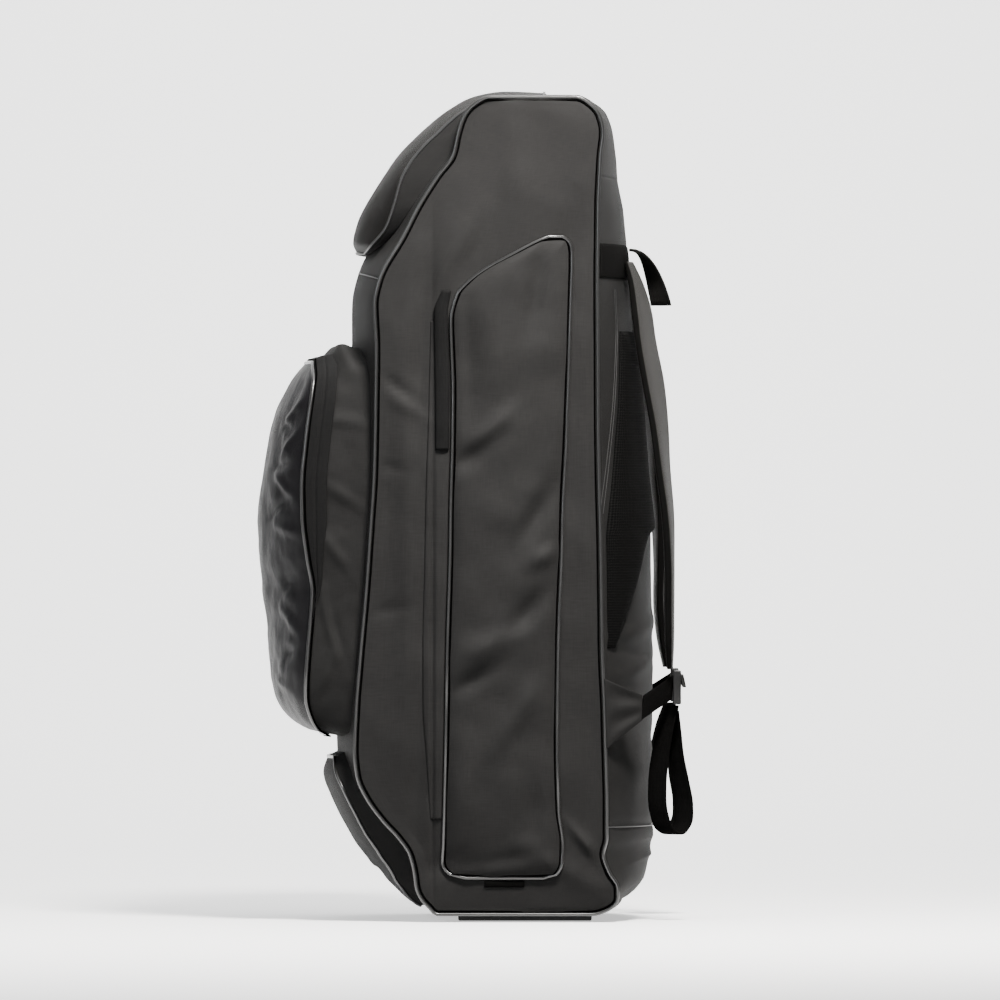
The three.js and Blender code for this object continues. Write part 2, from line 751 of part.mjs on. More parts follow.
function buckleCentre(side) {
  const end = strapRow(STRAP_END, side).centre;
  return end.add(new THREE.Vector3(0, BUCKLE_SHIFT, -BUCKLE_LENGTH / 2 - GAP));
}

function buckle(side) {
  const outline = new THREE.Shape();
  const halfWidth = BUCKLE_WIDTH / 2;
  const halfLength = BUCKLE_LENGTH / 2;
  outline.moveTo(-halfWidth, -halfLength);
  outline.lineTo(halfWidth, -halfLength);
  outline.lineTo(halfWidth, halfLength);
  outline.lineTo(-halfWidth, halfLength);
  outline.closePath();
  const slotHeight = (BUCKLE_LENGTH - 3 * BUCKLE_FRAME) / 2;
  [-1, 1].forEach((level) => {
    const slot = new THREE.Path();
    const low = level * (slotHeight + BUCKLE_FRAME) / 2 - slotHeight / 2;
    slot.moveTo(-halfWidth + BUCKLE_FRAME, low);
    slot.lineTo(-halfWidth + BUCKLE_FRAME, low + slotHeight);
    slot.lineTo(halfWidth - BUCKLE_FRAME, low + slotHeight);
    slot.lineTo(halfWidth - BUCKLE_FRAME, low);
    slot.closePath();
    outline.holes.push(slot);
  });
  const plate = new THREE.ExtrudeGeometry(outline, { depth: BUCKLE_THICKNESS, bevelEnabled: false });
  plate.translate(0, 0, -BUCKLE_THICKNESS / 2);
  plate.rotateX(Math.PI / 2);
  const centre = buckleCentre(side);
  plate.translate(centre.x, centre.y, centre.z);
  return closed(plate);
}

function tail(side) {
  const start = buckleCentre(side);
  const top = -BUCKLE_LENGTH / 2 - GAP - WEB_THICKNESS / 2;
  return strap(TAIL.map((row) => ({
    centre: start.clone().add(new THREE.Vector3(0, row.back * TAIL_REACH, top - row.drop * TAIL_DROP)),
    side: new THREE.Vector3(Math.cos(TAIL_TURN), side * Math.sin(TAIL_TURN), 0),
    width: WEB_WIDTH,
    thickness: WEB_THICKNESS,
  })));
}

// Fabric wing sewn into the rear side seam, and the webbing from its tip to the buckle
const WING_TOP = 0.291;
const WING_BOTTOM = 0.201;
const WING_REACH = 40;
const WING_INSET = 14;
const WEB_LEAN = 6;

function wingTip(side) {
  const middle = station(Math.round(rearPlace((WING_TOP + WING_BOTTOM) / 2)));
  const height = BASE_LIFT + SIDE_HEIGHT * mix(WING_BOTTOM, WING_TOP, 0.55);
  return new THREE.Vector3(side * (HALF_WIDTH - WING_INSET), middle.y + WING_REACH, height);
}

function wing(side) {
  const tip = wingTip(side);
  return slab(3, 2, (along, across, face) => {
    const share = along / 3;
    const height = mix(WING_BOTTOM, WING_TOP, across / 2);
    const seam = station(Math.round(rearPlace(height)));
    const rootHeight = BASE_LIFT + height * SIDE_HEIGHT;
    const root = new THREE.Vector3(side * (HALF_WIDTH + SEAM), seam.y + SEAM, rootHeight);
    const end = tip.clone().add(new THREE.Vector3(0, 0, (across - 1) * (WEB_WIDTH / 2)));
    const point = root.lerp(end, share);
    point.x += side * face * CLOTH;
    return point;
  });
}

function wingWeb(side) {
  const tip = wingTip(side);
  const goal = buckleCentre(side);
  const start = new THREE.Vector3(tip.x + (side * CLOTH) / 2, tip.y + 5 * GAP, tip.z);
  const back = goal.y - (BUCKLE_THICKNESS + WEB_THICKNESS) / 2 - GAP;
  const end = new THREE.Vector3(goal.x + side * WEB_LEAN, back, goal.z);
  return strap([0, 0.5, 1].map((share) => ({
    centre: start.clone().lerp(end, share),
    side: Z_AXIS,
    width: WEB_WIDTH,
    thickness: WEB_THICKNESS,
  })));
}

// Haul loop of webbing, flat on the yoke at its two ends and turned over in the middle
const HAUL_STEPS = 20;
const HAUL_REACH = 36;
const HAUL_THICKNESS = 3;
const HAUL_TURN = THREE.MathUtils.degToRad(81);

function haulLoop() {
  const foot = skin(rearPlace(YOKE_TOP - 0.01), HAUL_SPREAD / HALF_WIDTH, CLOTH + 3.4 * GAP);
  return strap(Array.from({ length: HAUL_STEPS + 1 }, (_, step) => {
    const angle = Math.PI * (step / HAUL_STEPS);
    const swing = Math.sin(angle);
    const turn = swing * HAUL_TURN;
    return {
      centre: new THREE.Vector3(
        HAUL_SPREAD * Math.cos(angle),
        foot.y + HAUL_REACH * swing,
        foot.z - HAUL_DROP * swing ** 2,
      ),
      side: new THREE.Vector3(Math.cos(turn), Math.sin(turn), 0),
      width: HAUL_WIDTH,
      thickness: HAUL_THICKNESS,
    };
  }));
}

// Skid runners under the base
function runner(side) {
  const box = new THREE.BoxGeometry(RUNNER_WIDTH, RUNNER_LENGTH, RUNNER_HEIGHT);
  const middle = BODY_OFFSET_Y + RUNNER_BACK_SHARE * SIDE_DEPTH - RUNNER_LENGTH / 2;
  box.translate((side * RUNNER_TRACK) / 2, middle, RUNNER_HEIGHT / 2);
  return closed(box);
}

add('strap_yoke', yoke(), WEBBING);
add('haul_loop', haulLoop(), WEBBING);

[['right', 1], ['left', -1]].forEach(([word, side]) => {
  add(`side_panel_${word}`, sidePanel(side), POLYESTER);
  add(`side_piping_${word}`, bodyPiping(side), PIPING);
  add(`bat_pocket_${word}`, batPocket(side), POLYESTER);
  add(`bat_pocket_piping_${word}`, pipingRing(batSeam(side), BAT_PIPING_SIDES), PIPING);
  add(`bat_pocket_flap_${word}`, batFlap(side), ZIP);
  add(`bat_pocket_tab_${word}`, batTab(side), WEBBING);
  add(`back_pad_${word}`, backPad(side), SPACER_MESH);
  add(`shoulder_strap_${word}`, shoulderStrap(side), POLYESTER);
  add(`strap_buckle_${word}`, buckle(side), PLASTIC);
  add(`strap_tail_${word}`, tail(side), WEBBING);
  add(`strap_wing_${word}`, wing(side), POLYESTER);
  add(`strap_web_${word}`, wingWeb(side), WEBBING);
  add(`base_runner_${word}`, runner(side), WEBBING);
});

// The origin is on the floor under the middle of the whole bag
const reach = new THREE.Box3().setFromObject(bag);
bag.position.y = -(reach.min.y + reach.max.y) / 2;

export default bag;
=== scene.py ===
# %% [markdown]
# A tall cloth kit bag for cricket, dressed for a product picture.
# The bag is two flat side panels and one long strip of cloth that runs up the front, over
# the top, down the back and under the base. Pockets, pads and straps are sewn on that.
# The solid model gives the place and size of every piece, and this lesson gives each one
# its real surface: smooth cloth with folds, piping, zips, webbing and mesh.

# %% Load the frame
import bmesh
import bpy
import math
import numpy as np
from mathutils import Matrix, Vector


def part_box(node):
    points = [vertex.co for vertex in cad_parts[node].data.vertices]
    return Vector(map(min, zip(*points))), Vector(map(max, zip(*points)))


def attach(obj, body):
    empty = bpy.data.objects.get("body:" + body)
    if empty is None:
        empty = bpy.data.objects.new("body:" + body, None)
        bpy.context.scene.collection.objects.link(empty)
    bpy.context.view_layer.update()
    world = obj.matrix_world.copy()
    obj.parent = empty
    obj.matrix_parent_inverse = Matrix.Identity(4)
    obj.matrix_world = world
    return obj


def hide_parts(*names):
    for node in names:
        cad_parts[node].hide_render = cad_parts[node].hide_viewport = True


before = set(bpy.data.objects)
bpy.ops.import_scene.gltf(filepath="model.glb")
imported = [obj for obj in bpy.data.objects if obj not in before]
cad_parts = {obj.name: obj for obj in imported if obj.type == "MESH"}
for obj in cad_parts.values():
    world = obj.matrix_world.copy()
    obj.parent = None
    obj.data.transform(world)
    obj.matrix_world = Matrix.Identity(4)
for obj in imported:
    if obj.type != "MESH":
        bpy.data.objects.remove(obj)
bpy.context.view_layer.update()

# %% [markdown]
# Everything is placed from the piping round the right side panel, because every other
# piece is sewn to that seam. Its box gives the height and depth of the side panel; the
# half width of the bag is given. All lengths are in metres.

# %% Main sizes
PIPING_RADIUS = 0.0022
piping_low, piping_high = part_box("side_piping_right")
BODY_FRONT = piping_low[1] + PIPING_RADIUS
BODY_BASE = piping_low[2] + PIPING_RADIUS
SIDE_HEIGHT = piping_high[2] - piping_low[2] - 2 * PIPING_RADIUS
REAR_REACH = 1.044
SIDE_DEPTH = (piping_high[1] - piping_low[1] - 2 * PIPING_RADIUS) / REAR_REACH
HALF_WIDTH = 0.17
FRONT_CROWN = 0.029
BACK_CROWN = 0.058
SIDE_SWELL = 0.007
CLOTH = 0.002
print("side panel", round(SIDE_DEPTH, 4), "deep", round(SIDE_HEIGHT, 4), "high")

# %% [markdown]
# The camera looks straight at the right side panel, as the picture does. It stands far
# away with a long lens, so that the far parts of the bag are hardly smaller than the near
# ones. The picture's middle lies at these shares of the side panel.

# %% Camera
PICTURE_SPAN = 1.1175
CAMERA_DISTANCE = 16.0
SENSOR = 36.0
camera_y = BODY_FRONT + 0.1624
camera_z = BODY_BASE + 0.4632
camera_data = bpy.data.cameras.new("camera")
camera_data.sensor_width = SENSOR
camera_data.lens = SENSOR * CAMERA_DISTANCE / PICTURE_SPAN
camera_data.clip_end = 100.0
camera = bpy.data.objects.new("camera", camera_data)
camera.location = (HALF_WIDTH + CAMERA_DISTANCE, camera_y, camera_z)
camera.rotation_euler = (math.radians(90), 0, math.radians(90))
bpy.context.scene.collection.objects.link(camera)
bpy.context.scene.camera = camera
print("lens", round(camera_data.lens, 1), "mm")

# %% [markdown]
# The seam of the side panel is a closed line. A short table gives its sections from the
# base up: the seam in front, the seam behind, and how far the strip of cloth swells out
# there between the two sides. A smooth curve is drawn through the sections, one that
# never swings past them, so the long straight stretches stay straight.

# %% Sections of the body
SECTIONS = np.array([
    # height, front, rear, front crown, back crown
    [0.000, 0.327, 0.939, 0.00, 0.00],
    [0.008, 0.297, 1.018, 0.12, 0.08],
    [0.019, 0.265, 1.044, 0.23, 0.12],
    [0.032, 0.246, 1.044, 0.31, 0.52],
    [0.052, 0.237, 1.008, 0.38, 0.90],
    [0.074, 0.218, 0.986, 0.46, 0.96],
    [0.093, 0.176, 1.000, 0.54, 0.92],
    [0.115, 0.111, 1.000, 0.62, 0.92],
    [0.142, 0.048, 1.000, 0.69, 0.92],
    [0.169, 0.010, 0.998, 0.73, 0.92],
    [0.201, 0.000, 0.995, 0.73, 0.94],
    [0.250, 0.006, 0.991, 0.81, 0.96],
    [0.324, 0.025, 0.981, 0.96, 1.00],
    [0.396, 0.046, 0.978, 0.96, 1.00],
    [0.470, 0.063, 0.974, 0.96, 1.00],
    [0.543, 0.078, 0.968, 0.96, 0.90],
    [0.616, 0.083, 0.965, 0.96, 0.83],
    [0.696, 0.086, 0.964, 1.00, 0.71],
    [0.746, 0.079, 0.963, 0.92, 0.65],
    [0.777, 0.099, 0.963, 0.92, 0.62],
    [0.830, 0.194, 0.965, 0.92, 0.56],
    [0.867, 0.255, 0.966, 0.92, 0.50],
    [0.903, 0.329, 0.971, 0.92, 0.38],
    [0.930, 0.392, 0.976, 0.85, 0.33],
    [0.956, 0.411, 0.985, 0.69, 0.22],
    [0.978, 0.436, 0.970, 0.36, 0.18],
    [0.991, 0.473, 0.935, 0.24, 0.12],
    [1.000, 0.535, 0.879, 0.20, 0.10],
])
LAST = len(SECTIONS) - 1
COUNT = 2 * len(SECTIONS)


def body_y(share):
    return BODY_FRONT + np.asarray(share) * SIDE_DEPTH


def body_z(height):
    return BODY_BASE + np.asarray(height) * SIDE_HEIGHT


# %% A curve that never overshoots
def hermite(t, a, b, da, db):
    return ((2 * t**3 - 3 * t**2 + 1) * a + (t**3 - 2 * t**2 + t) * da
            + (3 * t**2 - 2 * t**3) * b + (t**3 - t**2) * db)


def smooth(knots, values, x):
    step = np.diff(knots)
    slope = np.diff(values) / step
    tangent = np.zeros_like(values)
    same = slope[:-1] * slope[1:] > 0
    mean = np.where(same, 2 * slope[:-1] * slope[1:] / np.where(same, slope[:-1] + slope[1:], 1), 0)
    tangent[1:-1] = mean
    tangent[0], tangent[-1] = slope[0], slope[-1]
    x = np.clip(x, knots[0], knots[-1])
    index = np.clip(np.searchsorted(knots, x, side="right") - 1, 0, len(step) - 1)
    t = (x - knots[index]) / step[index]
    a, b = values[index], values[index + 1]
    da, db = tangent[index] * step[index], tangent[index + 1] * step[index]
    return hermite(t, a, b, da, db)


# %% The closed seam
seam_y = np.concatenate([body_y(SECTIONS[:, 1]), body_y(SECTIONS[::-1, 2])])
seam_z = np.concatenate([body_z(SECTIONS[:, 0]), body_z(SECTIONS[::-1, 0])])
seam_crown = np.concatenate([SECTIONS[:, 3] * FRONT_CROWN, SECTIONS[::-1, 4] * BACK_CROWN])
PAD = 4
wrapped = np.arange(-PAD, COUNT + PAD) % COUNT
steps = np.hypot(np.diff(seam_y[wrapped]), np.diff(seam_z[wrapped]))
seam_run = np.concatenate([[0], np.cumsum(steps)])
seam_run -= seam_run[PAD]
seam_stations = np.arange(-PAD, COUNT + PAD)
SEAM_LENGTH = seam_run[PAD + COUNT] - seam_run[PAD]
print("seam length", round(SEAM_LENGTH, 3))


def run_at(station):
    return np.interp(station, seam_stations, seam_run)


def seam_point(run):
    y = smooth(seam_run, seam_y[wrapped], run)
    z = smooth(seam_run, seam_z[wrapped], run)
    crown = np.interp(run, seam_run, seam_crown[wrapped])
    return y, z, crown


def seam_normal(run, reach=0.012):
    y0, z0, _ = seam_point(run - reach)
    y1, z1, _ = seam_point(run + reach)
    length = np.hypot(y1 - y0, z1 - z0)
    return (z0 - z1) / length, (y1 - y0) / length


HEEL_FROM_BASE = 0.29


def dome(across):
    return 1 - np.abs(across) ** 2.2


# Where the seam turns inward above the heel, the cloth bridges the turn
def heel_reach(run):
    heel = SEAM_LENGTH - HEEL_FROM_BASE
    return 0.012 + 0.030 * np.exp(-((run - heel) / 0.055) ** 2)


def skin(run, across, lift):
    y, z, crown = seam_point(run)
    ny, nz = seam_normal(run, heel_reach(run))
    rise = crown * dome(across) + lift
    return np.stack([across * HALF_WIDTH + 0 * run, y + ny * rise, z + nz * rise], axis=-1)


def front_run(height):
    height = np.asarray(height, dtype=float)
    on_front = np.interp(height, SECTIONS[:, 0], seam_run[PAD:PAD + len(SECTIONS)])
    return np.where(height > 1, run_at(LAST + height - 1), on_front)


def rear_run(height):
    runs = seam_run[PAD + len(SECTIONS):PAD + COUNT][::-1]
    return np.interp(height, SECTIONS[:, 0], runs)


# %% [markdown]
# Cloth is a grid whose points are laid on a surface by a function. The grid comes from
# Blender's own grid operator, its normals are made to point out, and a modifier gives the
# cloth its thickness. The map for the weave is measured in metres, so that the threads
# have one size on every piece.

# %% Helper for a sheet of cloth
made = {}


def keep(name, mesh, material, nodes, shade=True):
    item = bpy.data.objects.new(name, mesh)
    bpy.context.scene.collection.objects.link(item)
    mesh.materials.append(material)
    if shade:
        for face in mesh.polygons:
            face.use_smooth = True
    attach(item, "root")
    if nodes:
        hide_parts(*nodes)
    made[name] = item
    return item


def lay(mesh_bm, place, size):
    grid = np.array([vert.co[:2] for vert in mesh_bm.verts]) + 0.5
    points = place(grid[:, 0], grid[:, 1])
    layer = mesh_bm.loops.layers.uv.verify()
    for vert, point in zip(mesh_bm.verts, points):
        vert.co = point
    for face in mesh_bm.faces:
        for loop in face.loops:
            u, v = grid[loop.vert.index]
            loop[layer].uv = (u * size[0], v * size[1])


def cloth(name, along, across, place, size, material, nodes, wall=CLOTH, outward=None):
    sheet = bmesh.new()
    bmesh.ops.create_grid(sheet, x_segments=along, y_segments=across, size=0.5)
    sheet.verts.index_update()
    lay(sheet, place, size)
    turn_out(sheet, outward)
    mesh = bpy.data.meshes.new(name)
    sheet.to_mesh(mesh)
    sheet.free()
    item = keep(name, mesh, material, nodes)
    if wall:
        thick = item.modifiers.new("wall", "SOLIDIFY")
        thick.thickness = wall
        thick.offset = -1
    return item


# Faces look away from a point in the bag, or along a direction that is FAR long
BAG_MIDDLE = (0, 0.02, 0.45)
FAR = 1000


def turn_out(sheet, outward):
    away = Vector(outward or BAG_MIDDLE)
    sheet.normal_update()
    total = 0.0
    for face in sheet.faces:
        direction = away if away.length >= FAR else face.calc_center_median() - away
        total += face.normal.dot(direction) * face.calc_area()
    if total < 0:
        bmesh.ops.reverse_faces(sheet, faces=sheet.faces)


# %% [markdown]
# A cloth bag that has been packed and handled has soft dents and a few creases. Each is a
# short ridge or valley with a middle, a direction, a length, a width and a height. A slow
# wave adds the unevenness that padding gives.

# %% Folds and unevenness
def ridges(p, q, rows):
    height = np.zeros_like(p)
    for middle_p, middle_q, angle, length, width, rise in rows:
        cosine, sine = math.cos(math.radians(angle)), math.sin(math.radians(angle))
        along = (p - middle_p) * cosine + (q - middle_q) * sine
        aside = (q - middle_q) * cosine - (p - middle_p) * sine
        height += rise * np.exp(-(along / length) ** 2 - (aside / width) ** 2)
    return height


def ripple(p, q, scale, seed):
    total = np.zeros_like(p)
    for octave in range(4):
        turn = seed * 1.7 + octave * 2.1
        u = p * math.cos(turn) + q * math.sin(turn)
        v = q * math.cos(turn) - p * math.sin(turn)
        size = scale / 1.7**octave
        total += np.sin(u / size + 1.3 * np.sin(v / size * 0.7 + seed)) / 1.8**octave
    return total / 2.1


# %% [markdown]
# Finishes. The body is a charcoal polyester: a tight weave, rough, with a soft sheen where
# it turns away. The same recipe with other numbers gives the satin cloth of the front
# pocket, the webbing and the zip tape, so it is one function.

# %% Material helpers
def node(tree, kind, **values):
    item = tree.nodes.new(kind)
    for key, value in values.items():
        setattr(item, key, value)
    return item


def start_material(name):
    material = bpy.data.materials.new(name)
    material.use_nodes = True
    tree = material.node_tree
    shader = tree.nodes["Principled BSDF"]
    return material, tree, shader


def threads(tree, coordinates, direction, scale):
    wave = node(tree, "ShaderNodeTexWave", wave_type="BANDS", bands_direction=direction)
    wave.inputs["Scale"].default_value = scale
    wave.inputs["Distortion"].default_value = 0.6
    wave.inputs["Detail"].default_value = 1.0
    tree.links.new(coordinates, wave.inputs["Vector"])
    return wave.outputs["Fac"]


def slubs(tree, coordinates, scale):
    stretch = node(tree, "ShaderNodeMapping")
    stretch.inputs["Scale"].default_value = scale
    tree.links.new(coordinates, stretch.inputs["Vector"])
    uneven = node(tree, "ShaderNodeTexNoise")
    uneven.inputs["Scale"].default_value = 1.0
    uneven.inputs["Detail"].default_value = 3.0
    tree.links.new(stretch.outputs["Vector"], uneven.inputs["Vector"])
    return uneven.outputs["Fac"]


PATCHES = 14.0


def woven(name, dark, light, rough, sheen, thread, bump, specular):
    material, tree, shader = start_material(name)
    place = node(tree, "ShaderNodeTexCoord")
    warp = threads(tree, place.outputs["UV"], "X", thread)
    weft = threads(tree, place.outputs["UV"], "Y", thread)
    cross = node(tree, "ShaderNodeMath", operation="MAXIMUM")
    tree.links.new(warp, cross.inputs[0])
    tree.links.new(weft, cross.inputs[1])
    clouds = node(tree, "ShaderNodeTexNoise")
    clouds.inputs["Scale"].default_value = PATCHES
    clouds.inputs["Detail"].default_value = 5.0
    tree.links.new(place.outputs["Object"], clouds.inputs["Vector"])
    along = slubs(tree, place.outputs["UV"], (55, 950, 1))
    aside = slubs(tree, place.outputs["UV"], (950, 55, 1))
    specks = node(tree, "ShaderNodeMath", operation="ADD")
    tree.links.new(along, specks.inputs[0])
    tree.links.new(aside, specks.inputs[1])
    blend = node(tree, "ShaderNodeMix", data_type="RGBA")
    blend.inputs[6].default_value = (*dark, 1)
    blend.inputs[7].default_value = (*light, 1)
    level = node(tree, "ShaderNodeMath", operation="MULTIPLY_ADD")
    level.inputs[1].default_value = 0.75
    tree.links.new(clouds.outputs["Fac"], level.inputs[0])
    fleck = node(tree, "ShaderNodeMath", operation="MULTIPLY_ADD")
    fleck.inputs[1].default_value = 0.8
    fleck.inputs[2].default_value = -0.7
    tree.links.new(specks.outputs[0], fleck.inputs[0])
    tree.links.new(fleck.outputs[0], level.inputs[2])
    tree.links.new(level.outputs[0], blend.inputs[0])
    tree.links.new(blend.outputs[2], shader.inputs["Base Color"])
    worn = node(tree, "ShaderNodeMapRange")
    worn.inputs["To Min"].default_value = rough - 0.07
    worn.inputs["To Max"].default_value = rough + 0.07
    tree.links.new(clouds.outputs["Fac"], worn.inputs["Value"])
    tree.links.new(worn.outputs["Result"], shader.inputs["Roughness"])
    total = node(tree, "ShaderNodeMath", operation="MULTIPLY_ADD")
    total.inputs[1].default_value = 0.6
    tree.links.new(specks.outputs[0], total.inputs[0])
    tree.links.new(cross.outputs[0], total.inputs[2])
    relief = node(tree, "ShaderNodeBump")
    relief.inputs["Strength"].default_value = bump
    relief.inputs["Distance"].default_value = 0.0004
    tree.links.new(total.outputs[0], relief.inputs["Height"])
    tree.links.new(relief.outputs["Normal"], shader.inputs["Normal"])
    shader.inputs["Sheen Weight"].default_value = sheen
    shader.inputs["Sheen Roughness"].default_value = 0.45
    shader.inputs["Specular IOR Level"].default_value = specular
    return material


# %% The cloths
polyester = woven("polyester", (0.0115, 0.0112, 0.0110), (0.0195, 0.0190, 0.0185),
                  rough=0.60, sheen=0.001, thread=700, bump=0.30, specular=0.055)
satin = woven("satin_cloth", (0.0064, 0.0060, 0.0068), (0.0104, 0.0098, 0.0110),
              rough=0.40, sheen=0.001, thread=900, bump=0.2, specular=0.08)
pad_cloth = woven("lid_cloth", (0.0066, 0.0060, 0.0056), (0.0106, 0.0098, 0.0092),
                  rough=0.50, sheen=0.001, thread=800, bump=0.3, specular=0.05)
strap_cloth = woven("strap_cloth", (0.0200, 0.0194, 0.0184), (0.0330, 0.0320, 0.0304),
                    rough=0.60, sheen=0.003, thread=700, bump=0.5, specular=0.08)
webbing = woven("webbing", (0.0022, 0.0021, 0.0020), (0.0046, 0.0045, 0.0043),
                rough=0.85, sheen=0.0, thread=420, bump=0.9, specular=0.02)
zip_tape = woven("zip_tape", (0.0060, 0.0060, 0.0060), (0.0095, 0.0094, 0.0093),
                 rough=0.74, sheen=0.0, thread=600, bump=0.5, specular=0.03)
loop_webbing = woven("loop_webbing", (0.0110, 0.0106, 0.0100), (0.0180, 0.0175, 0.0166),
                     rough=0.78, sheen=0.0, thread=420, bump=0.9, specular=0.04)
# A darker copy of the body cloth. Its darkness is painted shade on the pieces it covers: the back under
# the straps, the base, the gussets, the wall under the lid, the boot pocket and the strap wings.
shaded_cloth = woven("shaded_cloth", (0.0085, 0.0083, 0.0081), (0.0145, 0.0142, 0.0138),
                   rough=0.62, sheen=0.001, thread=700, bump=0.3, specular=0.06)


# %% [markdown]
# Spacer mesh is an open knit of small cells. A Voronoi pattern in the piece's own map has
# cells of about 3 mm, darker in the holes as painted shade, and its relief makes the cells
# catch light. The whole mesh is kept near black: partly its own dark knit, partly painted
# shade of the strap over it.

# %% Mesh, cord, plastic and rubber
def spacer_mesh():
    material, tree, shader = start_material("spacer_mesh")
    place = node(tree, "ShaderNodeTexCoord")
    cells = node(tree, "ShaderNodeTexVoronoi", feature="F1")
    cells.inputs["Scale"].default_value = 330.0
    cells.inputs["Randomness"].default_value = 0.15
    tree.links.new(place.outputs["UV"], cells.inputs["Vector"])
    ramp = node(tree, "ShaderNodeValToRGB")
    ramp.color_ramp.elements[0].position = 0.25
    ramp.color_ramp.elements[0].color = (0.0006, 0.0006, 0.0006, 1)
    ramp.color_ramp.elements[1].position = 0.6
    ramp.color_ramp.elements[1].color = (0.0060, 0.0060, 0.0058, 1)
    tree.links.new(cells.outputs["Distance"], ramp.inputs["Fac"])
    tree.links.new(ramp.outputs["Color"], shader.inputs["Base Color"])
    relief = node(tree, "ShaderNodeBump")
    relief.inputs["Strength"].default_value = 0.8
    relief.inputs["Distance"].default_value = 0.0012
    tree.links.new(cells.outputs["Distance"], relief.inputs["Height"])
    tree.links.new(relief.outputs["Normal"], shader.inputs["Normal"])
    shader.inputs["Roughness"].default_value = 0.85
    shader.inputs["Specular IOR Level"].default_value = 0.03
    return material


def plain_gloss(name, color, rough, coat, grain, bump, specular=0.5):
    material, tree, shader = start_material(name)
    place = node(tree, "ShaderNodeTexCoord")
    noise = node(tree, "ShaderNodeTexNoise")
    noise.inputs["Scale"].default_value = grain
    noise.inputs["Detail"].default_value = 4.0
    tree.links.new(place.outputs["Object"], noise.inputs["Vector"])
    spread = node(tree, "ShaderNodeMapRange")
    spread.inputs["To Min"].default_value = rough - 0.08
    spread.inputs["To Max"].default_value = rough + 0.10
    tree.links.new(noise.outputs["Fac"], spread.inputs["Value"])
    tree.links.new(spread.outputs["Result"], shader.inputs["Roughness"])
    tone = node(tree, "ShaderNodeMix", data_type="RGBA")
    tone.inputs[6].default_value = (*[0.8 * part for part in color], 1)
    tone.inputs[7].default_value = (*[1.25 * part for part in color], 1)
    tree.links.new(noise.outputs["Fac"], tone.inputs[0])
    tree.links.new(tone.outputs[2], shader.inputs["Base Color"])
    relief = node(tree, "ShaderNodeBump")
    relief.inputs["Strength"].default_value = bump
    relief.inputs["Distance"].default_value = 0.0003
    tree.links.new(noise.outputs["Fac"], relief.inputs["Height"])
    tree.links.new(relief.outputs["Normal"], shader.inputs["Normal"])
    shader.inputs["Coat Weight"].default_value = coat
    shader.inputs["Coat Roughness"].default_value = 0.15
    shader.inputs["Specular IOR Level"].default_value = specular
    return material


shaded_knit = spacer_mesh()
cord = plain_gloss("piping_cord", (0.0080, 0.0080, 0.0078), rough=0.33, coat=0.40,
                   grain=500.0, bump=0.12)
# A near-black matte tube without shine, laid beside the piping: painted seam shadow.
seam_shadow = plain_gloss("seam_shadow", (0.0008, 0.0008, 0.0008), rough=0.85, coat=0.0,
                   grain=500.0, bump=0.1, specular=0.0)
dark_cord = plain_gloss("dark_cord", (0.006, 0.006, 0.006), rough=0.5, coat=0.1,
                        grain=500.0, bump=0.15)
plastic = plain_gloss("buckle_plastic", (0.0045, 0.0045, 0.0045), rough=0.46, coat=0.06,
                      grain=260.0, bump=0.1, specular=0.2)
rubber = plain_gloss("runner_rubber", (0.004, 0.004, 0.004), rough=0.6, coat=0.0,
                     grain=300.0, bump=0.4)

# %% [markdown]
# The strip of cloth is cut in four: front, top, back and base. Each is laid on the swelling
# surface between the side seams, and stops just short of the piping. The back has a few
# level folds low down, where the cloth hangs slack under the straps.

# %% Strip panels
STRIP_REACH = (HALF_WIDTH - 0.0016) / HALF_WIDTH
LID_SEAM, REAR_TOP = 19, COUNT - 1 - 22


def strip_panel(name, first, last, along, material, folds=(), wave=0.0006):
    start, end = run_at(first), run_at(last)

    def place(u, v):
        run = start + u * (end - start)
        across = (2 * v - 1) * STRIP_REACH
        edge = np.clip((1 - np.abs(across)) * 8, 0, 1)
        soft = wave * ripple(run, across * HALF_WIDTH, 0.035, 3.0)
        soft = soft + ridges(run, across * HALF_WIDTH, folds)
        return skin(run, across, soft * edge)

    size = (end - start, 2 * HALF_WIDTH)
    return cloth(name, along, 64, place, size, material, [name])


def rear_folds(rows):
    return [(rear_run(height), *others) for height, *others in rows]


BACK_FOLDS = rear_folds([
    (0.345, 0.10, 84, 0.09, 0.010, 0.004),
    (0.322, 0.12, 96, 0.07, 0.008, -0.003),
    (0.300, 0.09, 80, 0.08, 0.010, 0.004),
    (0.262, 0.12, 92, 0.06, 0.010, 0.003),
    (0.225, 0.08, 98, 0.08, 0.012, -0.003),
    (0.170, 0.11, 86, 0.08, 0.014, 0.003),
    (0.345, -0.10, 96, 0.09, 0.010, 0.004),
    (0.300, -0.10, 88, 0.08, 0.010, 0.004),
    (0.225, -0.09, 84, 0.08, 0.012, -0.003),
    (0.110, 0.09, 90, 0.10, 0.006, -0.002),
    (0.110, -0.09, 90, 0.10, 0.006, -0.002),
])
strip_panel("front_panel", 0, LID_SEAM, 220, polyester)
strip_panel("top_panel", LID_SEAM, REAR_TOP, 120, polyester)
# The back and the base are in the darker cloth, painted shade under the straps and under the bag.
strip_panel("back_panel", REAR_TOP, COUNT - 1, 260, shaded_cloth, BACK_FOLDS, 0.0010)
strip_panel("base_panel", COUNT - 1, COUNT, 40, shaded_cloth)
print("strip panels", [name for name in made])

# %% [markdown]
# A side panel is flat with a slight swell. Its rows run from the seam in front to the seam
# behind at the same station. Long shallow dents run down it, as stiffened cloth shows.

# %% Side panels
SEAM_INSET = 0.0019


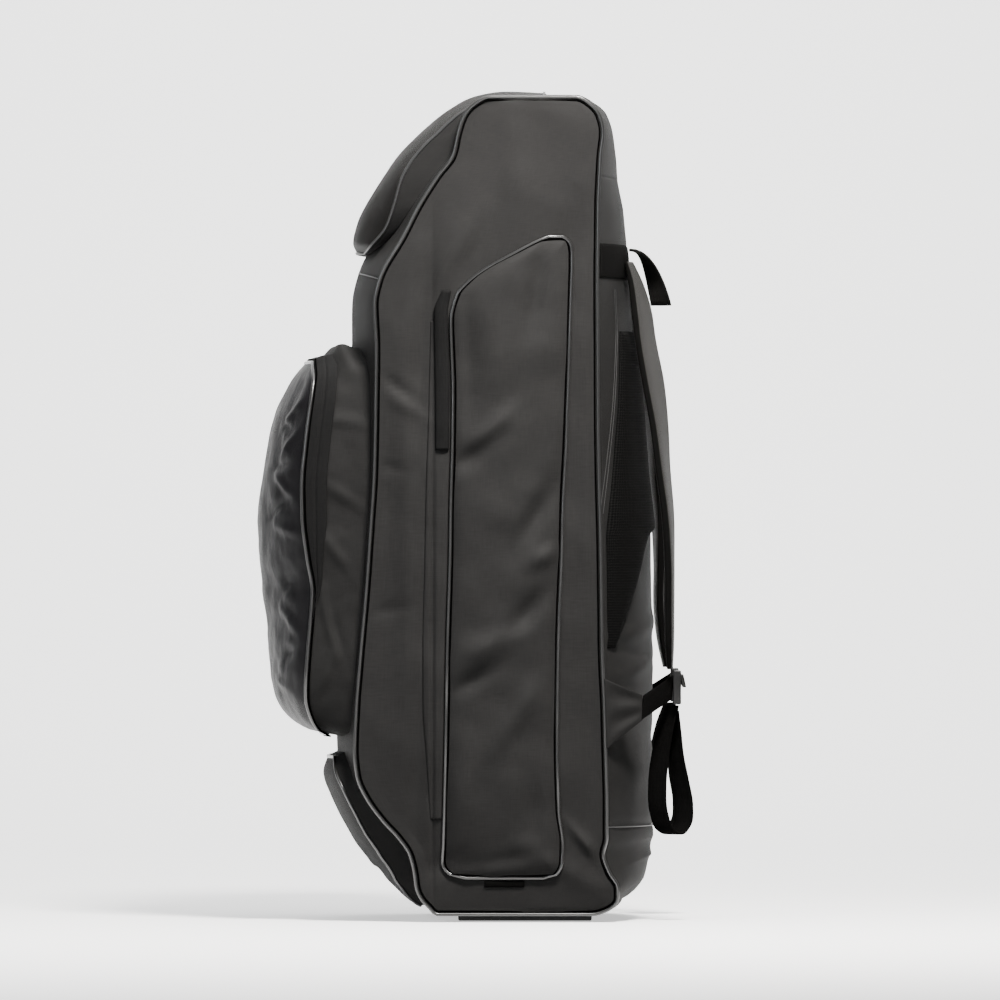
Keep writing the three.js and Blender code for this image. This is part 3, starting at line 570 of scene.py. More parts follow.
def side_surface(station, share, lift, side):
    front_y, front_z = inset_seam(run_at(station))
    rear_y, rear_z = inset_seam(run_at(COUNT - 1 - station))
    height = np.clip(station / LAST, 0, 1)
    swell = SIDE_SWELL * np.sin(np.pi * share) * np.sin(np.pi * height) ** 0.5
    y = front_y + (rear_y - front_y) * share
    z = front_z + (rear_z - front_z) * share
    return np.stack([side * (HALF_WIDTH + swell + lift), y, z], axis=-1)


def inset_seam(run):
    y, z, _ = seam_point(run)
    ny, nz = seam_normal(run)
    return y - ny * SEAM_INSET, z - nz * SEAM_INSET


SIDE_DENTS = [
    # depth share, height, angle, length, width, rise, all in metres of the panel
    (0.072, 0.20, 88, 0.16, 0.010, -0.0016),
    (0.060, 0.42, 91, 0.20, 0.014, 0.0016),
    (0.078, 0.66, 86, 0.10, 0.012, -0.0018),
    (0.110, 0.74, 60, 0.06, 0.014, 0.0015),
    (0.180, 0.82, 92, 0.08, 0.020, 0.0016),
    (0.235, 0.70, 84, 0.10, 0.016, -0.0014),
    (0.262, 0.48, 90, 0.16, 0.010, 0.0012),
    (0.268, 0.24, 88, 0.12, 0.010, -0.0014),
    (0.110, 0.06, 20, 0.05, 0.012, -0.0012),
    (0.235, 0.05, 150, 0.05, 0.012, 0.0014),
    (0.262, 0.075, 130, 0.03, 0.006, 0.0025),
    (0.087, 0.30, 90, 0.34, 0.0022, -0.0014),
    (0.045, 0.592, -34, 0.028, 0.005, -0.0013),
    (0.052, 0.570, -30, 0.030, 0.006, 0.0009),
    (0.036, 0.500, -12, 0.022, 0.005, -0.0010),
    (0.036, 0.340, 8, 0.024, 0.006, -0.0009),
]


def side_relief(y, z, side):
    return 2.6 * ridges(y, z, SIDE_DENTS) + 0.0026 * ripple(y, z, 0.042, 1.0 + side)


def side_panel(word, side):
    def place(u, v):
        station = LAST * u
        base = side_surface(station, v, 0, side)
        y, z = base[:, 1] - BODY_FRONT, base[:, 2] - BODY_BASE
        edge = np.clip(np.minimum(v, 1 - v) * 14, 0, 1) * np.clip(np.minimum(u, 1 - u) * 30, 0, 1)
        base[:, 0] += side * side_relief(y, z, side) * edge
        return base

    name = f"side_panel_{word}"
    cloth(name, 330, 96, place, (SIDE_HEIGHT, SIDE_DEPTH), polyester, [name],
          outward=(side * FAR, 0, 0))


# %% [markdown]
# Piping is a cord in a folded strip of cloth, sewn into the seam. It is a closed curve
# with a round bevel, which follows the seam exactly. A thin dark tube beside it is painted
# shadow in the seam.

# %% Piping
def tube(name, points, radius, material, nodes=(), closed=True):
    curve = bpy.data.curves.new(name, "CURVE")
    curve.dimensions = "3D"
    curve.bevel_depth = radius
    curve.bevel_resolution = 3
    curve.use_fill_caps = not closed
    line = curve.splines.new("POLY")
    line.points.add(len(points) - 1)
    for target, point in zip(line.points, points):
        target.co = (*[float(part) for part in point], 1)
    line.use_cyclic_u = closed
    line.use_smooth = True
    curve.materials.append(material)
    item = bpy.data.objects.new(name, curve)
    bpy.context.scene.collection.objects.link(item)
    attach(item, "root")
    if nodes:
        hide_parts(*nodes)
    made[name] = item
    return item


SEAM_SHADOW_RADIUS = 0.0010


def seam_line(side, lift=0.0, inward=0.0, samples=420):
    run = np.linspace(0, SEAM_LENGTH, samples, endpoint=False)
    y, z, _ = seam_point(run)
    ny, nz = seam_normal(run, 0.006)
    x = np.full_like(run, side * (HALF_WIDTH - inward))
    return np.stack([x, y + ny * lift, z + nz * lift], axis=-1)


for word, side in (("right", 1), ("left", -1)):
    side_panel(word, side)
    name = f"side_piping_{word}"
    tube(name, seam_line(side), PIPING_RADIUS * 0.9, cord, [name])
    tube(f"side_seam_shadow_{word}", seam_line(side, -0.0036, -0.0006), SEAM_SHADOW_RADIUS, seam_shadow)
print("side panels and piping")

# %% [markdown]
# The bat pocket is a long panel sewn to the side, proud of it and puffed a little. Its
# outline is a table of heights with the front and rear edges. The cloth falls steeply to
# the piping at its edge, and shallow slanting dents cross it.

# %% Bat pockets
BAT_POCKET = np.array([
    # height, front, rear, raise
    [0.0445, 0.440, 0.747, 0.35],
    [0.0465, 0.398, 0.786, 0.50],
    [0.0520, 0.366, 0.808, 0.65],
    [0.0630, 0.348, 0.822, 0.80],
    [0.0850, 0.352, 0.825, 0.95],
    [0.1280, 0.356, 0.809, 1.00],
    [0.2140, 0.362, 0.803, 1.00],
    [0.3240, 0.368, 0.807, 1.00],
    [0.4430, 0.379, 0.821, 1.00],
    [0.5070, 0.382, 0.827, 1.00],
    [0.5730, 0.388, 0.838, 1.00],
    [0.6400, 0.390, 0.846, 1.00],
    [0.7260, 0.382, 0.855, 1.00],
    [0.7580, 0.406, 0.858, 0.95],
    [0.7750, 0.455, 0.860, 0.85],
    [0.7910, 0.527, 0.862, 0.75],
    [0.8080, 0.630, 0.862, 0.70],
    [0.8190, 0.697, 0.857, 0.60],
    [0.8250, 0.737, 0.845, 0.50],
    [0.8290, 0.768, 0.825, 0.35],
])
BAT_RAISE = 0.009
BAT_DENTS = [
    # metres from the seam in front and from the base
    (0.125, 0.51, 35, 0.030, 0.012, -0.0030),
    (0.150, 0.54, 42, 0.035, 0.010, 0.0022),
    (0.205, 0.45, 60, 0.040, 0.012, -0.0032),
    (0.212, 0.40, 30, 0.020, 0.010, 0.0022),
    (0.195, 0.34, 50, 0.035, 0.012, -0.0028),
    (0.150, 0.30, 25, 0.040, 0.014, 0.0024),
    (0.130, 0.26, 30, 0.030, 0.010, -0.0024),
    (0.180, 0.22, 55, 0.050, 0.014, 0.0020),
    (0.120, 0.14, 80, 0.060, 0.016, 0.0018),
    (0.200, 0.12, 95, 0.050, 0.014, -0.0018),
    (0.160, 0.66, 88, 0.080, 0.020, 0.0018),
    (0.205, 0.70, 80, 0.060, 0.012, -0.0020),
    (0.125, 0.64, 92, 0.080, 0.012, -0.0016),
    (0.160, 0.06, 10, 0.050, 0.010, -0.0016),
]


def station_at(height):
    return np.interp(height, SECTIONS[:, 0], np.arange(len(SECTIONS)))


def on_side(height, depth, lift, side):
    station = station_at(height)
    y = body_y(depth)
    front_y, _ = inset_seam(run_at(station))
    rear_y, _ = inset_seam(run_at(COUNT - 1 - station))
    share = (y - front_y) / (rear_y - front_y)
    z = body_z(height) + 0 * share
    relief = side_relief(y - BODY_FRONT, z - BODY_BASE, side)
    point = side_surface(station, share, lift + relief, side)
    return np.stack([point[..., 0], y + 0 * share, z], axis=-1)


def bat_edges(height):
    front = smooth(BAT_POCKET[:, 0], BAT_POCKET[:, 1], height)
    rear = smooth(BAT_POCKET[:, 0], BAT_POCKET[:, 2], height)
    return front, rear


def bat_pocket(word, side):
    low, high = BAT_POCKET[0, 0], BAT_POCKET[-1, 0]

    def place(u, v):
        height = low + (high - low) * u
        front, rear = bat_edges(height)
        depth = front + (rear - front) * v
        reach = np.minimum(np.minimum(v, 1 - v) * (rear - front) * SIDE_DEPTH,
                           np.minimum(u, 1 - u) * (high - low) * SIDE_HEIGHT)
        puff = 1 - np.exp(-reach / 0.009)
        y, z = body_y(depth) - BODY_FRONT, height * SIDE_HEIGHT
        lift = 0.001 + BAT_RAISE * puff
        lift += puff * (2.6 * ridges(y, z, BAT_DENTS) + 0.0024 * ripple(y, z, 0.035, 5.0 + side))
        return on_side(height, depth, lift, side)

    name = f"bat_pocket_{word}"
    cloth(name, 360, 84, place, (0.72, 0.13), polyester, [name],
          outward=(side * FAR, 0, 0))


def bat_line(side, lift, inset=0.0):
    low, high = BAT_POCKET[0, 0], BAT_POCKET[-1, 0]
    height = np.linspace(low, high, 170)
    front, rear = bat_edges(height)
    front, rear = front + inset / SIDE_DEPTH, rear - inset / SIDE_DEPTH
    height = np.clip(height, low + inset / SIDE_HEIGHT, high - inset / SIDE_HEIGHT)
    up = on_side(height, front, lift, side)
    down = on_side(height, rear, lift, side)[::-1]
    return np.concatenate([up, down])


# %% Zip flap and tab of the bat pocket
BAT_FLAP = np.array([
    # height, front, rear
    [0.568, 0.319, 0.374],
    [0.650, 0.317, 0.377],
    [0.735, 0.313, 0.370],
    [0.763, 0.345, 0.383],
])


def bat_flap(word, side):
    low, high = BAT_FLAP[0, 0], BAT_FLAP[-1, 0]

    def place(u, v):
        height = low + (high - low) * u
        front = smooth(BAT_FLAP[:, 0], BAT_FLAP[:, 1], height)
        rear = smooth(BAT_FLAP[:, 0], BAT_FLAP[:, 2], height)
        rounded = 0.0024 + 0.0028 * np.sin(np.pi * v) ** 0.5
        return on_side(height, front + (rear - front) * v, rounded, side)

    name = f"bat_pocket_flap_{word}"
    cloth(name, 60, 12, place, (0.18, 0.017), zip_tape, [name], wall=0.001,
          outward=(side * FAR, 0, 0))


# The seam of the band beside the pocket, which the zip flap continues
BAND_SEAM = np.array([
    # height, depth
    [0.1166, 0.301],
    [0.1936, 0.283],
    [0.2583, 0.269],
    [0.3243, 0.269],
    [0.4207, 0.276],
    [0.5294, 0.283],
    [0.5954, 0.291],
    [0.7261, 0.301],
])


def bat_band(word, side):
    low, high = BAND_SEAM[0, 0], BAND_SEAM[-1, 0]

    def place(u, v):
        height = low + (high - low) * u
        start = smooth(BAND_SEAM[:, 0], BAND_SEAM[:, 1], height)
        end = bat_edges(height)[0] - 0.008
        rounded = 0.0004 + 0.0016 * np.sin(np.pi * v) ** 0.4
        return on_side(height, start + (end - start) * v, rounded, side)

    cloth(f"bat_pocket_band_{word}", 260, 14, place, (0.56, 0.02), polyester, [], wall=0.0008,
          outward=(side * FAR, 0, 0))


def bat_tab(word, side):
    middle = (BAT_POCKET[0, 1] + BAT_POCKET[0, 2]) / 2

    def place(u, v):
        height = BAT_POCKET[0, 0] - 0.0035 - 0.0075 * (1 - u)
        rounded = 0.0012 + 0.001 * np.sin(np.pi * u) ** 0.5
        return on_side(height, middle + (v - 0.5) * 0.159, rounded, side)

    name = f"bat_pocket_tab_{word}"
    cloth(name, 8, 24, place, (0.007, 0.045), webbing, [name], wall=0.001,
          outward=(side * FAR, 0, 0))


for word, side in (("right", 1), ("left", -1)):
    bat_pocket(word, side)
    bat_band(word, side)
    bat_flap(word, side)
    bat_tab(word, side)
    name = f"bat_pocket_piping_{word}"
    tube(name, bat_line(side, 0.0024), PIPING_RADIUS * 0.85, cord, [name])
    # The dark tube beside the bat pocket's piping is painted seam shadow.
    tube(f"bat_seam_shadow_{word}", bat_line(side, 0.0034, 0.0030), SEAM_SHADOW_RADIUS, seam_shadow)
print("bat pockets")

# %% [markdown]
# The two pockets on the strip share one build. A table gives the sections of the pocket:
# the height on the body, the half width, how far its edge stands out, and how much its
# face swells beyond that. The face is one sheet, the wall goes round it, and piping lies
# between the two.

# %% Tables of the pockets
FRONT_POCKET = np.array([
    # height, wide, depth, swell, root
    [0.219, 0.72, 0.24, 0.00, 0.219],
    [0.223, 0.88, 0.42, 0.06, 0.221],
    [0.238, 0.95, 0.58, 0.28, 0.230],
    [0.260, 0.98, 0.68, 0.44, 0.256],
    [0.291, 1.00, 0.71, 0.58, 0.290],
    [0.343, 1.00, 0.71, 0.74, 0.343],
    [0.387, 1.00, 0.72, 1.00, 0.387],
    [0.433, 1.00, 0.84, 0.93, 0.433],
    [0.482, 1.00, 0.95, 0.79, 0.482],
    [0.530, 1.00, 0.99, 0.64, 0.530],
    [0.574, 0.99, 0.95, 0.58, 0.576],
    [0.618, 0.97, 0.88, 0.42, 0.624],
    [0.652, 0.90, 0.79, 0.16, 0.668],
    [0.675, 0.66, 0.69, 0.00, 0.692],
])
BOOT_POCKET = np.array([
    [0.014, 0.74, 0.14, 0.00, 0.011],
    [0.031, 0.88, 0.42, 0.20, 0.028],
    [0.048, 0.95, 0.80, 0.50, 0.046],
    [0.082, 0.98, 1.02, 0.40, 0.082],
    [0.112, 1.00, 0.84, 0.30, 0.112],
    [0.138, 1.00, 0.62, 0.20, 0.138],
    [0.160, 0.98, 0.56, 0.10, 0.160],
    [0.176, 0.90, 0.60, 0.30, 0.180],
    [0.193, 0.74, 0.44, 0.00, 0.199],
])
FRONT_SIZE = {"wide": 0.155, "depth": 0.076, "swell": 0.032}
BOOT_SIZE = {"wide": 0.152, "depth": 0.025, "swell": 0.005}


# %% Pocket surfaces
def pocket_columns(rows, size, u):
    run = front_run(rows[:, 0])
    knots = (run - run[0]) / (run[-1] - run[0])
    return (run[0] + u * (run[-1] - run[0]),
            smooth(knots, rows[:, 1], u) * size["wide"],
            smooth(knots, rows[:, 2], u) * size["depth"],
            smooth(knots, rows[:, 3], u) * size["swell"],
            smooth(knots, front_run(rows[:, 4]), u))


def pocket_edge(rows, size, u, share):
    run, wide, depth, _, _ = pocket_columns(rows, size, u)
    return skin(run, share * wide / HALF_WIDTH, depth)


def pocket_root(rows, size, u, share):
    _, wide, _, _, root = pocket_columns(rows, size, u)
    return skin(root, share * wide * 1.03 / HALF_WIDTH, -0.002)


def pocket_face(name, rows, size, material, folds, wave, along=150, across=120, inset=0.004):
    def place(u, v):
        run, wide, depth, swell, _ = pocket_columns(rows, size, u)
        share = 2 * v - 1
        edge = np.minimum((1 - np.abs(share)) * wide, np.minimum(u, 1 - u) * size["span"])
        full = 1 - np.exp(-np.maximum(edge, 0) / 0.012)
        x = share * (wide - 0.001)
        lift = depth + swell * dome(share) + inset * full
        relief = ridges(x, u * size["span"], folds) + wave(x, u * size["span"])
        return skin(run, x / HALF_WIDTH, lift + relief * full)

    return cloth(name, along, across, place, (size["span"], 2 * size["wide"]), material, [name])


def loop_around(samples_side=90, samples_end=40):
    side_u = np.linspace(0, 1, samples_side)
    end_share = np.linspace(1, -1, samples_end)[1:-1]
    u = np.concatenate([side_u, np.ones_like(end_share), side_u[::-1], np.zeros_like(end_share)])
    ones = np.ones_like(side_u)
    share = np.concatenate([ones, end_share, -ones, end_share[::-1]])
    return u, share


LOOP_U, LOOP_SHARE = loop_around()


def away_from_middle(edge, root):
    tangent = np.roll(edge, -1, axis=0) - np.roll(edge, 1, axis=0)
    out = np.cross(tangent, edge - root)
    out /= np.linalg.norm(out, axis=1)[:, None] + 1e-9
    return out * np.sign(np.sum(out * (edge - edge.mean(axis=0)), axis=1))[:, None]


def pocket_wall(name, rows, size, material, folds, wave, across=26):
    edge = pocket_edge(rows, size, LOOP_U, LOOP_SHARE)
    root = pocket_root(rows, size, LOOP_U, LOOP_SHARE)
    count = len(LOOP_U)
    out = away_from_middle(edge, root)
    length = np.concatenate([[0], np.cumsum(np.linalg.norm(np.diff(edge, axis=0), axis=1))])
    top = np.clip((edge[:, 2] - edge[:, 2].max() + 0.030) / 0.022, 0, 1)

    def place(u, v):
        index = np.round(u * count).astype(int) % count
        height = np.linalg.norm(edge - root, axis=1)[index]
        relief = ridges(length[index], v * height, folds)
        relief += wave(length[index], v * height, top[index])
        relief *= np.sin(np.pi * np.clip(v, 0, 1)) ** 0.6
        base = root[index] + (edge[index] - root[index]) * v[:, None]
        return base + out[index] * relief[:, None]

    item = cloth(name, count, across, place, (length[-1], 0.08), material, [name], wall=0)
    close_wall(item)
    return item


# The grid's first and last columns lie on each other: they are joined before the thickness
def close_wall(item):
    whole = bmesh.new()
    whole.from_mesh(item.data)
    bmesh.ops.remove_doubles(whole, verts=whole.verts, dist=0.00002)
    whole.to_mesh(item.data)
    whole.free()
    thick = item.modifiers.new("wall", "SOLIDIFY")
    thick.thickness = 0.0015
    thick.offset = -1


def flat(p, q, top):
    return np.zeros_like(p)


# %% [markdown]
# The front pocket's face is a smooth nylon that crinkles where it is drawn over its edge.
# The crinkles are short ridges in many directions, strongest left of the middle.

# %% Front pocket
FRONT_SIZE["span"] = 0.42
BOOT_SIZE["span"] = 0.17


def crinkles(p, q):
    broad = 0.0024 * ripple(p, q, 0.022, 7.0)
    fine = 0.0010 * ripple(p, q, 0.009, 11.0)
    return (broad + fine) * (0.4 + 0.6 * np.clip(np.abs(p) / 0.11, 0, 1))


FACE_FOLDS = []
for mirror in (1, -1):
    FACE_FOLDS += [
        (mirror * 0.120, 0.365, mirror * 35, 0.030, 0.006, 0.0032),
        (mirror * 0.110, 0.345, mirror * -20, 0.026, 0.006, -0.0030),
        (mirror * 0.125, 0.325, mirror * 50, 0.030, 0.006, 0.0034),
        (mirror * 0.105, 0.300, mirror * 10, 0.028, 0.007, -0.0034),
        (mirror * 0.125, 0.275, mirror * -35, 0.030, 0.006, 0.0034),
        (mirror * 0.110, 0.250, mirror * 25, 0.030, 0.006, -0.0030),
        (mirror * 0.130, 0.225, mirror * -10, 0.026, 0.006, 0.0028),
        (mirror * 0.120, 0.165, mirror * 40, 0.030, 0.007, -0.0026),
        (mirror * 0.125, 0.120, mirror * -30, 0.032, 0.008, 0.0032),
        (mirror * 0.115, 0.085, mirror * 15, 0.030, 0.007, -0.0028),
        (mirror * 0.100, 0.050, mirror * -15, 0.030, 0.006, 0.0024),
    ]


def wall_wave(p, q, top):
    hood = 0.011 * np.exp(-((q - 0.019) / 0.013) ** 2) - 0.004 * np.exp(-((q - 0.042) / 0.006) ** 2)
    return 0.0024 * ripple(p, q, 0.020, 2.0) + top * hood


WALL_FOLDS = [
    (0.165, 0.040, 20, 0.040, 0.006, 0.0050),
    (0.150, 0.030, 25, 0.040, 0.006, -0.0030),
    (0.235, 0.035, 40, 0.030, 0.006, 0.0030),
    (0.300, 0.030, 60, 0.030, 0.006, 0.0028),
    (0.090, 0.040, -20, 0.030, 0.007, 0.0035),
    (0.380, 0.030, 80, 0.030, 0.006, 0.0030),
]
pocket_face("front_pocket_face", FRONT_POCKET, FRONT_SIZE, satin,
            FACE_FOLDS, crinkles)
# The gusset is in the darker cloth, painted shade round the pocket.
pocket_wall("front_pocket_wall", FRONT_POCKET, FRONT_SIZE, shaded_cloth,
            WALL_FOLDS, wall_wave)
tube("front_pocket_piping", pocket_edge(FRONT_POCKET, FRONT_SIZE, LOOP_U, LOOP_SHARE), PIPING_RADIUS,
     cord, ["front_pocket_piping"])


# %% [markdown]
# The zip of the front pocket lies on the wall just behind the piping and goes over the top.
# A covered zip shows as a darker strip with a fold down its middle.

# %% Front pocket zip
ZIP_WIDTH = 0.026
ZIP_START = 0.30


def front_zip():
    upper = (LOOP_U >= ZIP_START)
    index_list = np.nonzero(upper)[0]
    edge = pocket_edge(FRONT_POCKET, FRONT_SIZE, LOOP_U, LOOP_SHARE)
    root = pocket_root(FRONT_POCKET, FRONT_SIZE, LOOP_U, LOOP_SHARE)
    out = away_from_middle(edge, root)
    count = len(index_list)

    def place(u, v):
        index = index_list[np.round(u * (count - 1)).astype(int)]
        run = (root - edge)[index]
        run = run / np.linalg.norm(run, axis=1)[:, None]
        taper = np.clip(np.minimum(u, 1 - u) * 7, 0.08, 1)
        set_back = 0.002 + v * ZIP_WIDTH * taper
        fold = np.exp(-((v - 0.5) / 0.05) ** 2)
        lift = 0.0026 + 0.0012 * np.sin(np.pi * v) ** 0.5 - 0.0012 * fold
        return edge[index] + run * set_back[:, None] + out[index] * lift[:, None]

    name = "front_pocket_zip"
    cloth(name, count - 1, 24, place, (0.6, ZIP_WIDTH), zip_tape, [name], wall=0.001,
          outward=(0, -0.15, 0.4))


front_zip()


# A thin dark tube just inside the piping is painted shadow where the zip meets it
def zip_seam_shadow():
    edge = pocket_edge(FRONT_POCKET, FRONT_SIZE, LOOP_U, LOOP_SHARE)
    root = pocket_root(FRONT_POCKET, FRONT_SIZE, LOOP_U, LOOP_SHARE)
    inward = (root - edge) / np.linalg.norm(root - edge, axis=1)[:, None]
    away = edge - edge.mean(axis=0)
    away[:, 1] = 0
    away /= np.linalg.norm(away, axis=1)[:, None]
    tube("front_pocket_seam_shadow", edge + inward * 0.0034 + away * 0.0030, SEAM_SHADOW_RADIUS, seam_shadow)


zip_seam_shadow()
print("front pocket")

# %% [markdown]
# The boot pocket low in front has a cloth face and a gusset, both in the darker cloth that
# paints shade.

# %% Boot pocket
def soft_wave(p, q):
    return 0.0008 * ripple(p, q, 0.03, 9.0)


pocket_face("boot_pocket_face", BOOT_POCKET, BOOT_SIZE, shaded_cloth,
            [], soft_wave, 80, 100, 0.002)
pocket_wall("boot_pocket_wall", BOOT_POCKET, BOOT_SIZE, shaded_cloth, [], flat, 14)
tube("boot_pocket_piping", pocket_edge(BOOT_POCKET, BOOT_SIZE, LOOP_U, LOOP_SHARE), PIPING_RADIUS * 0.8,
     cord, ["boot_pocket_piping"])
print("boot pocket")

# %% [markdown]
# The lid is a padded tongue over the sloping top, with a soft gusset under its edge. Seen
# from the side its edge and its middle are two smooth lines, so those are its table: the
# depth and the height of the edge, then of the middle, in shares of the side panel.

# %% Lid
LID_LINES = np.array([
    [0.036, 0.8103, 0.003, 0.8116],
    [0.067, 0.8201, -0.012, 0.8236],
    [0.123, 0.8408, 0.004, 0.8477],
    [0.153, 0.8653, 0.041, 0.8720],
    [0.188, 0.9019, 0.105, 0.9047],
    [0.249, 0.9313, 0.180, 0.9363],
    [0.336, 0.9581, 0.277, 0.9647],
    [0.424, 0.9813, 0.384, 0.9910],
    [0.511, 0.9948, 0.492, 1.0069],
    [0.598, 1.0000, 0.590, 1.0109],
    [0.752, 1.0010, 0.752, 1.0085],
])
LID_WIDTHS = np.array([0.40, 0.74, 0.86, 0.92, 0.95, 0.96, 0.965, 0.97, 0.97, 0.97, 0.96]) * 0.158
lid_knots = np.concatenate([[0], np.cumsum(np.hypot(np.diff(LID_LINES[:, 2] * SIDE_DEPTH),
                                                    np.diff(LID_LINES[:, 3] * SIDE_HEIGHT)))])
LID_LENGTH = lid_knots[-1]
lid_knots = lid_knots / LID_LENGTH


def lid_point(u, share, lift=0.0):
    edge_y, edge_z, top_y, top_z = (smooth(lid_knots, line, u) for line in LID_LINES.T)
    wide = smooth(lid_knots, LID_WIDTHS, u)
    rise = np.clip(1 - np.abs(share) ** 3, 0, 1)
    y = body_y(edge_y + (top_y - edge_y) * rise)
    z = body_z(edge_z + (top_z - edge_z) * rise)
    away_y, away_z = -0.8, 0.6
    return np.stack([share * wide, y + away_y * lift, z + away_z * lift], axis=-1)


def lid_face():
    def place(u, v):
        share = 2 * v - 1
        edge = np.minimum((1 - np.abs(share)) * 0.15, np.minimum(u, 1 - u) * LID_LENGTH)
        full = 1 - np.exp(-np.maximum(edge, 0) / 0.010)
        relief = 0.0012 * ripple(u * LID_LENGTH, share * 0.15, 0.030, 9.0)
        return lid_point(u, share, relief * full)

    item = cloth("lid_face", 130, 110, place, (LID_LENGTH, 0.31), pad_cloth, ["lid_face"])


def lid_gusset():
    edge = lid_point(LOOP_U, LOOP_SHARE)
    run = front_run(np.clip(LID_LINES[:, 3], 0, 1))
    run[-1] = run_at(LAST + 0.72)
    run[-2] = run_at(LAST + 0.25)
    run[0] = front_run(0.802)
    root_run = smooth(lid_knots, run, LOOP_U)
    wide = smooth(lid_knots, LID_WIDTHS, LOOP_U)
    root = skin(root_run, LOOP_SHARE * np.minimum(wide * 1.05, 0.163) / HALF_WIDTH, -0.001)
    count = len(LOOP_U)

    def place(u, v):
        index = np.round(u * count).astype(int) % count
        base = root[index] + (edge[index] - root[index]) * v[:, None]
        sag = 0.004 * np.sin(np.pi * v) + 0.0012 * ripple(index * 0.004, v * 0.03, 0.012, 4.0)
        base[:, 1] += sag * 0.8
        base[:, 2] -= sag * 0.6
        return base

    # The gusset is in the darker cloth, painted shade under the lid.
    item = cloth("lid_wall", count, 20, place, (0.9, 0.05), shaded_cloth, ["lid_wall"], wall=0)
    close_wall(item)


lid_face()
lid_gusset()
tube("lid_binding", lid_point(LOOP_U, LOOP_SHARE), PIPING_RADIUS * 0.8, dark_cord,
     ["lid_binding"])
print("lid", round(LID_LENGTH, 3), "long")

# %% [markdown]
# The back pads are spacer mesh over foam: soft edges and a full middle. The yoke above
# them is a plain dark band sewn across the back.

# %% Back pads and yoke
BACK_PAD = np.array([
    # height, inner, outer
    [0.325, 0.88, 0.95],
    [0.371, 0.72, 0.95],
    [0.415, 0.56, 0.95],
    [0.461, 0.36, 0.95],
    [0.475, 0.08, 0.94],
    [0.555, 0.08, 0.84],
    [0.630, 0.08, 0.74],
    [0.714, 0.08, 0.64],
])
PAD_SWELL = 0.007


def back_pad(word, side):
    low, high = BACK_PAD[0, 0], BACK_PAD[-1, 0]

    def place(u, v):
        height = low + (high - low) * u
        inner = smooth(BACK_PAD[:, 0], BACK_PAD[:, 1], height)
        outer = smooth(BACK_PAD[:, 0], BACK_PAD[:, 2], height)
        across = inner + (outer - inner) * v
        edge = np.minimum(np.minimum(v, 1 - v) * (outer - inner) * HALF_WIDTH,
                          np.minimum(u, 1 - u) * 0.35)
        full = 1 - np.exp(-edge / 0.008)
        return skin(rear_run(height), side * across, 0.0006 + PAD_SWELL * full)

    name = f"back_pad_{word}"
    item = cloth(name, 120, 50, place, (0.36, 0.14), shaded_knit, [name], outward=(0, FAR, 0))


def strap_yoke():
    top, drop = 0.821, 0.039 / SIDE_HEIGHT

    def place(u, v):
        across = (2 * v - 1) * STRIP_REACH
        rounded = 0.0006 + 0.002 * np.sin(np.pi * u) ** 0.35
        return skin(rear_run(top - drop * (1 - u)), across, rounded)

    cloth("strap_yoke", 20, 90, place, (0.039, 0.335), webbing, ["strap_yoke"], wall=0.0015,
          outward=(0, FAR, 0))


# %% [markdown]
# A strap is a bar swept along a line, so it is built as a grid wrapped round that line.
# The shoulder straps are padded, with a rounded edge and a binding along each side. The
# webbing is thin and flat with square edges.

# %% Helper for straps
def ribbon(name, centres, sides, widths, thicknesses, material, nodes,
           roundness=0.3, samples=120, across=16):
    centres = np.asarray(centres, dtype=float)
    knots = np.concatenate([[0], np.cumsum(np.linalg.norm(np.diff(centres, axis=0), axis=1))])
    length = knots[-1]
    knots = knots / length
    fine = np.linspace(0, 1, samples)
    sides = np.asarray(sides, dtype=float)
    line = np.stack([natural(knots, column, fine) for column in centres.T], axis=-1)
    side = np.stack([natural(knots, column, fine) for column in sides.T], axis=-1)
    side /= np.linalg.norm(side, axis=1)[:, None]
    tangent = np.gradient(line, axis=0)
    tangent /= np.linalg.norm(tangent, axis=1)[:, None]
    normal = np.cross(tangent, side)
    normal /= np.linalg.norm(normal, axis=1)[:, None]
    wide = natural(knots, np.asarray(widths, dtype=float), fine)
    thick = natural(knots, np.asarray(thicknesses, dtype=float), fine)

    def place(u, v):
        index = np.round(u * (samples - 1)).astype(int)
        angle = 2 * np.pi * v
        cosine, sine = np.cos(angle), np.sin(angle)
        p = np.sign(cosine) * np.abs(cosine) ** roundness * wide[index] / 2
        q = np.sign(sine) * np.abs(sine) ** roundness * thick[index] / 2
        return line[index] + side[index] * p[:, None] + normal[index] * q[:, None]

    item = cloth(name, samples - 1, across, place, (length, 2 * max(widths)), material, nodes, wall=0)
    close_tube(item.data)
    return item


def natural(knots, values, x):
    count = len(knots)
    step = np.diff(knots)
    slope = np.diff(values) / step
    tangent = np.empty(count)
    tangent[0], tangent[-1] = slope[0], slope[-1]
    tangent[1:-1] = (slope[:-1] * step[1:] + slope[1:] * step[:-1]) / (step[:-1] + step[1:])
    index = np.clip(np.searchsorted(knots, x, side="right") - 1, 0, count - 2)
    t = (x - knots[index]) / step[index]
    a, b = values[index], values[index + 1]
    da, db = tangent[index] * step[index], tangent[index + 1] * step[index]
    return hermite(t, a, b, da, db)


def close_tube(mesh):
    whole = bmesh.new()
    whole.from_mesh(mesh)
    bmesh.ops.remove_doubles(whole, verts=whole.verts, dist=0.00002)
    bmesh.ops.holes_fill(whole, edges=[edge for edge in whole.edges if edge.is_boundary], sides=0)
    bmesh.ops.recalc_face_normals(whole, faces=whole.faces)
    whole.to_mesh(mesh)
    whole.free()
    for face in mesh.polygons:
        face.use_smooth = len(face.vertices) < 8


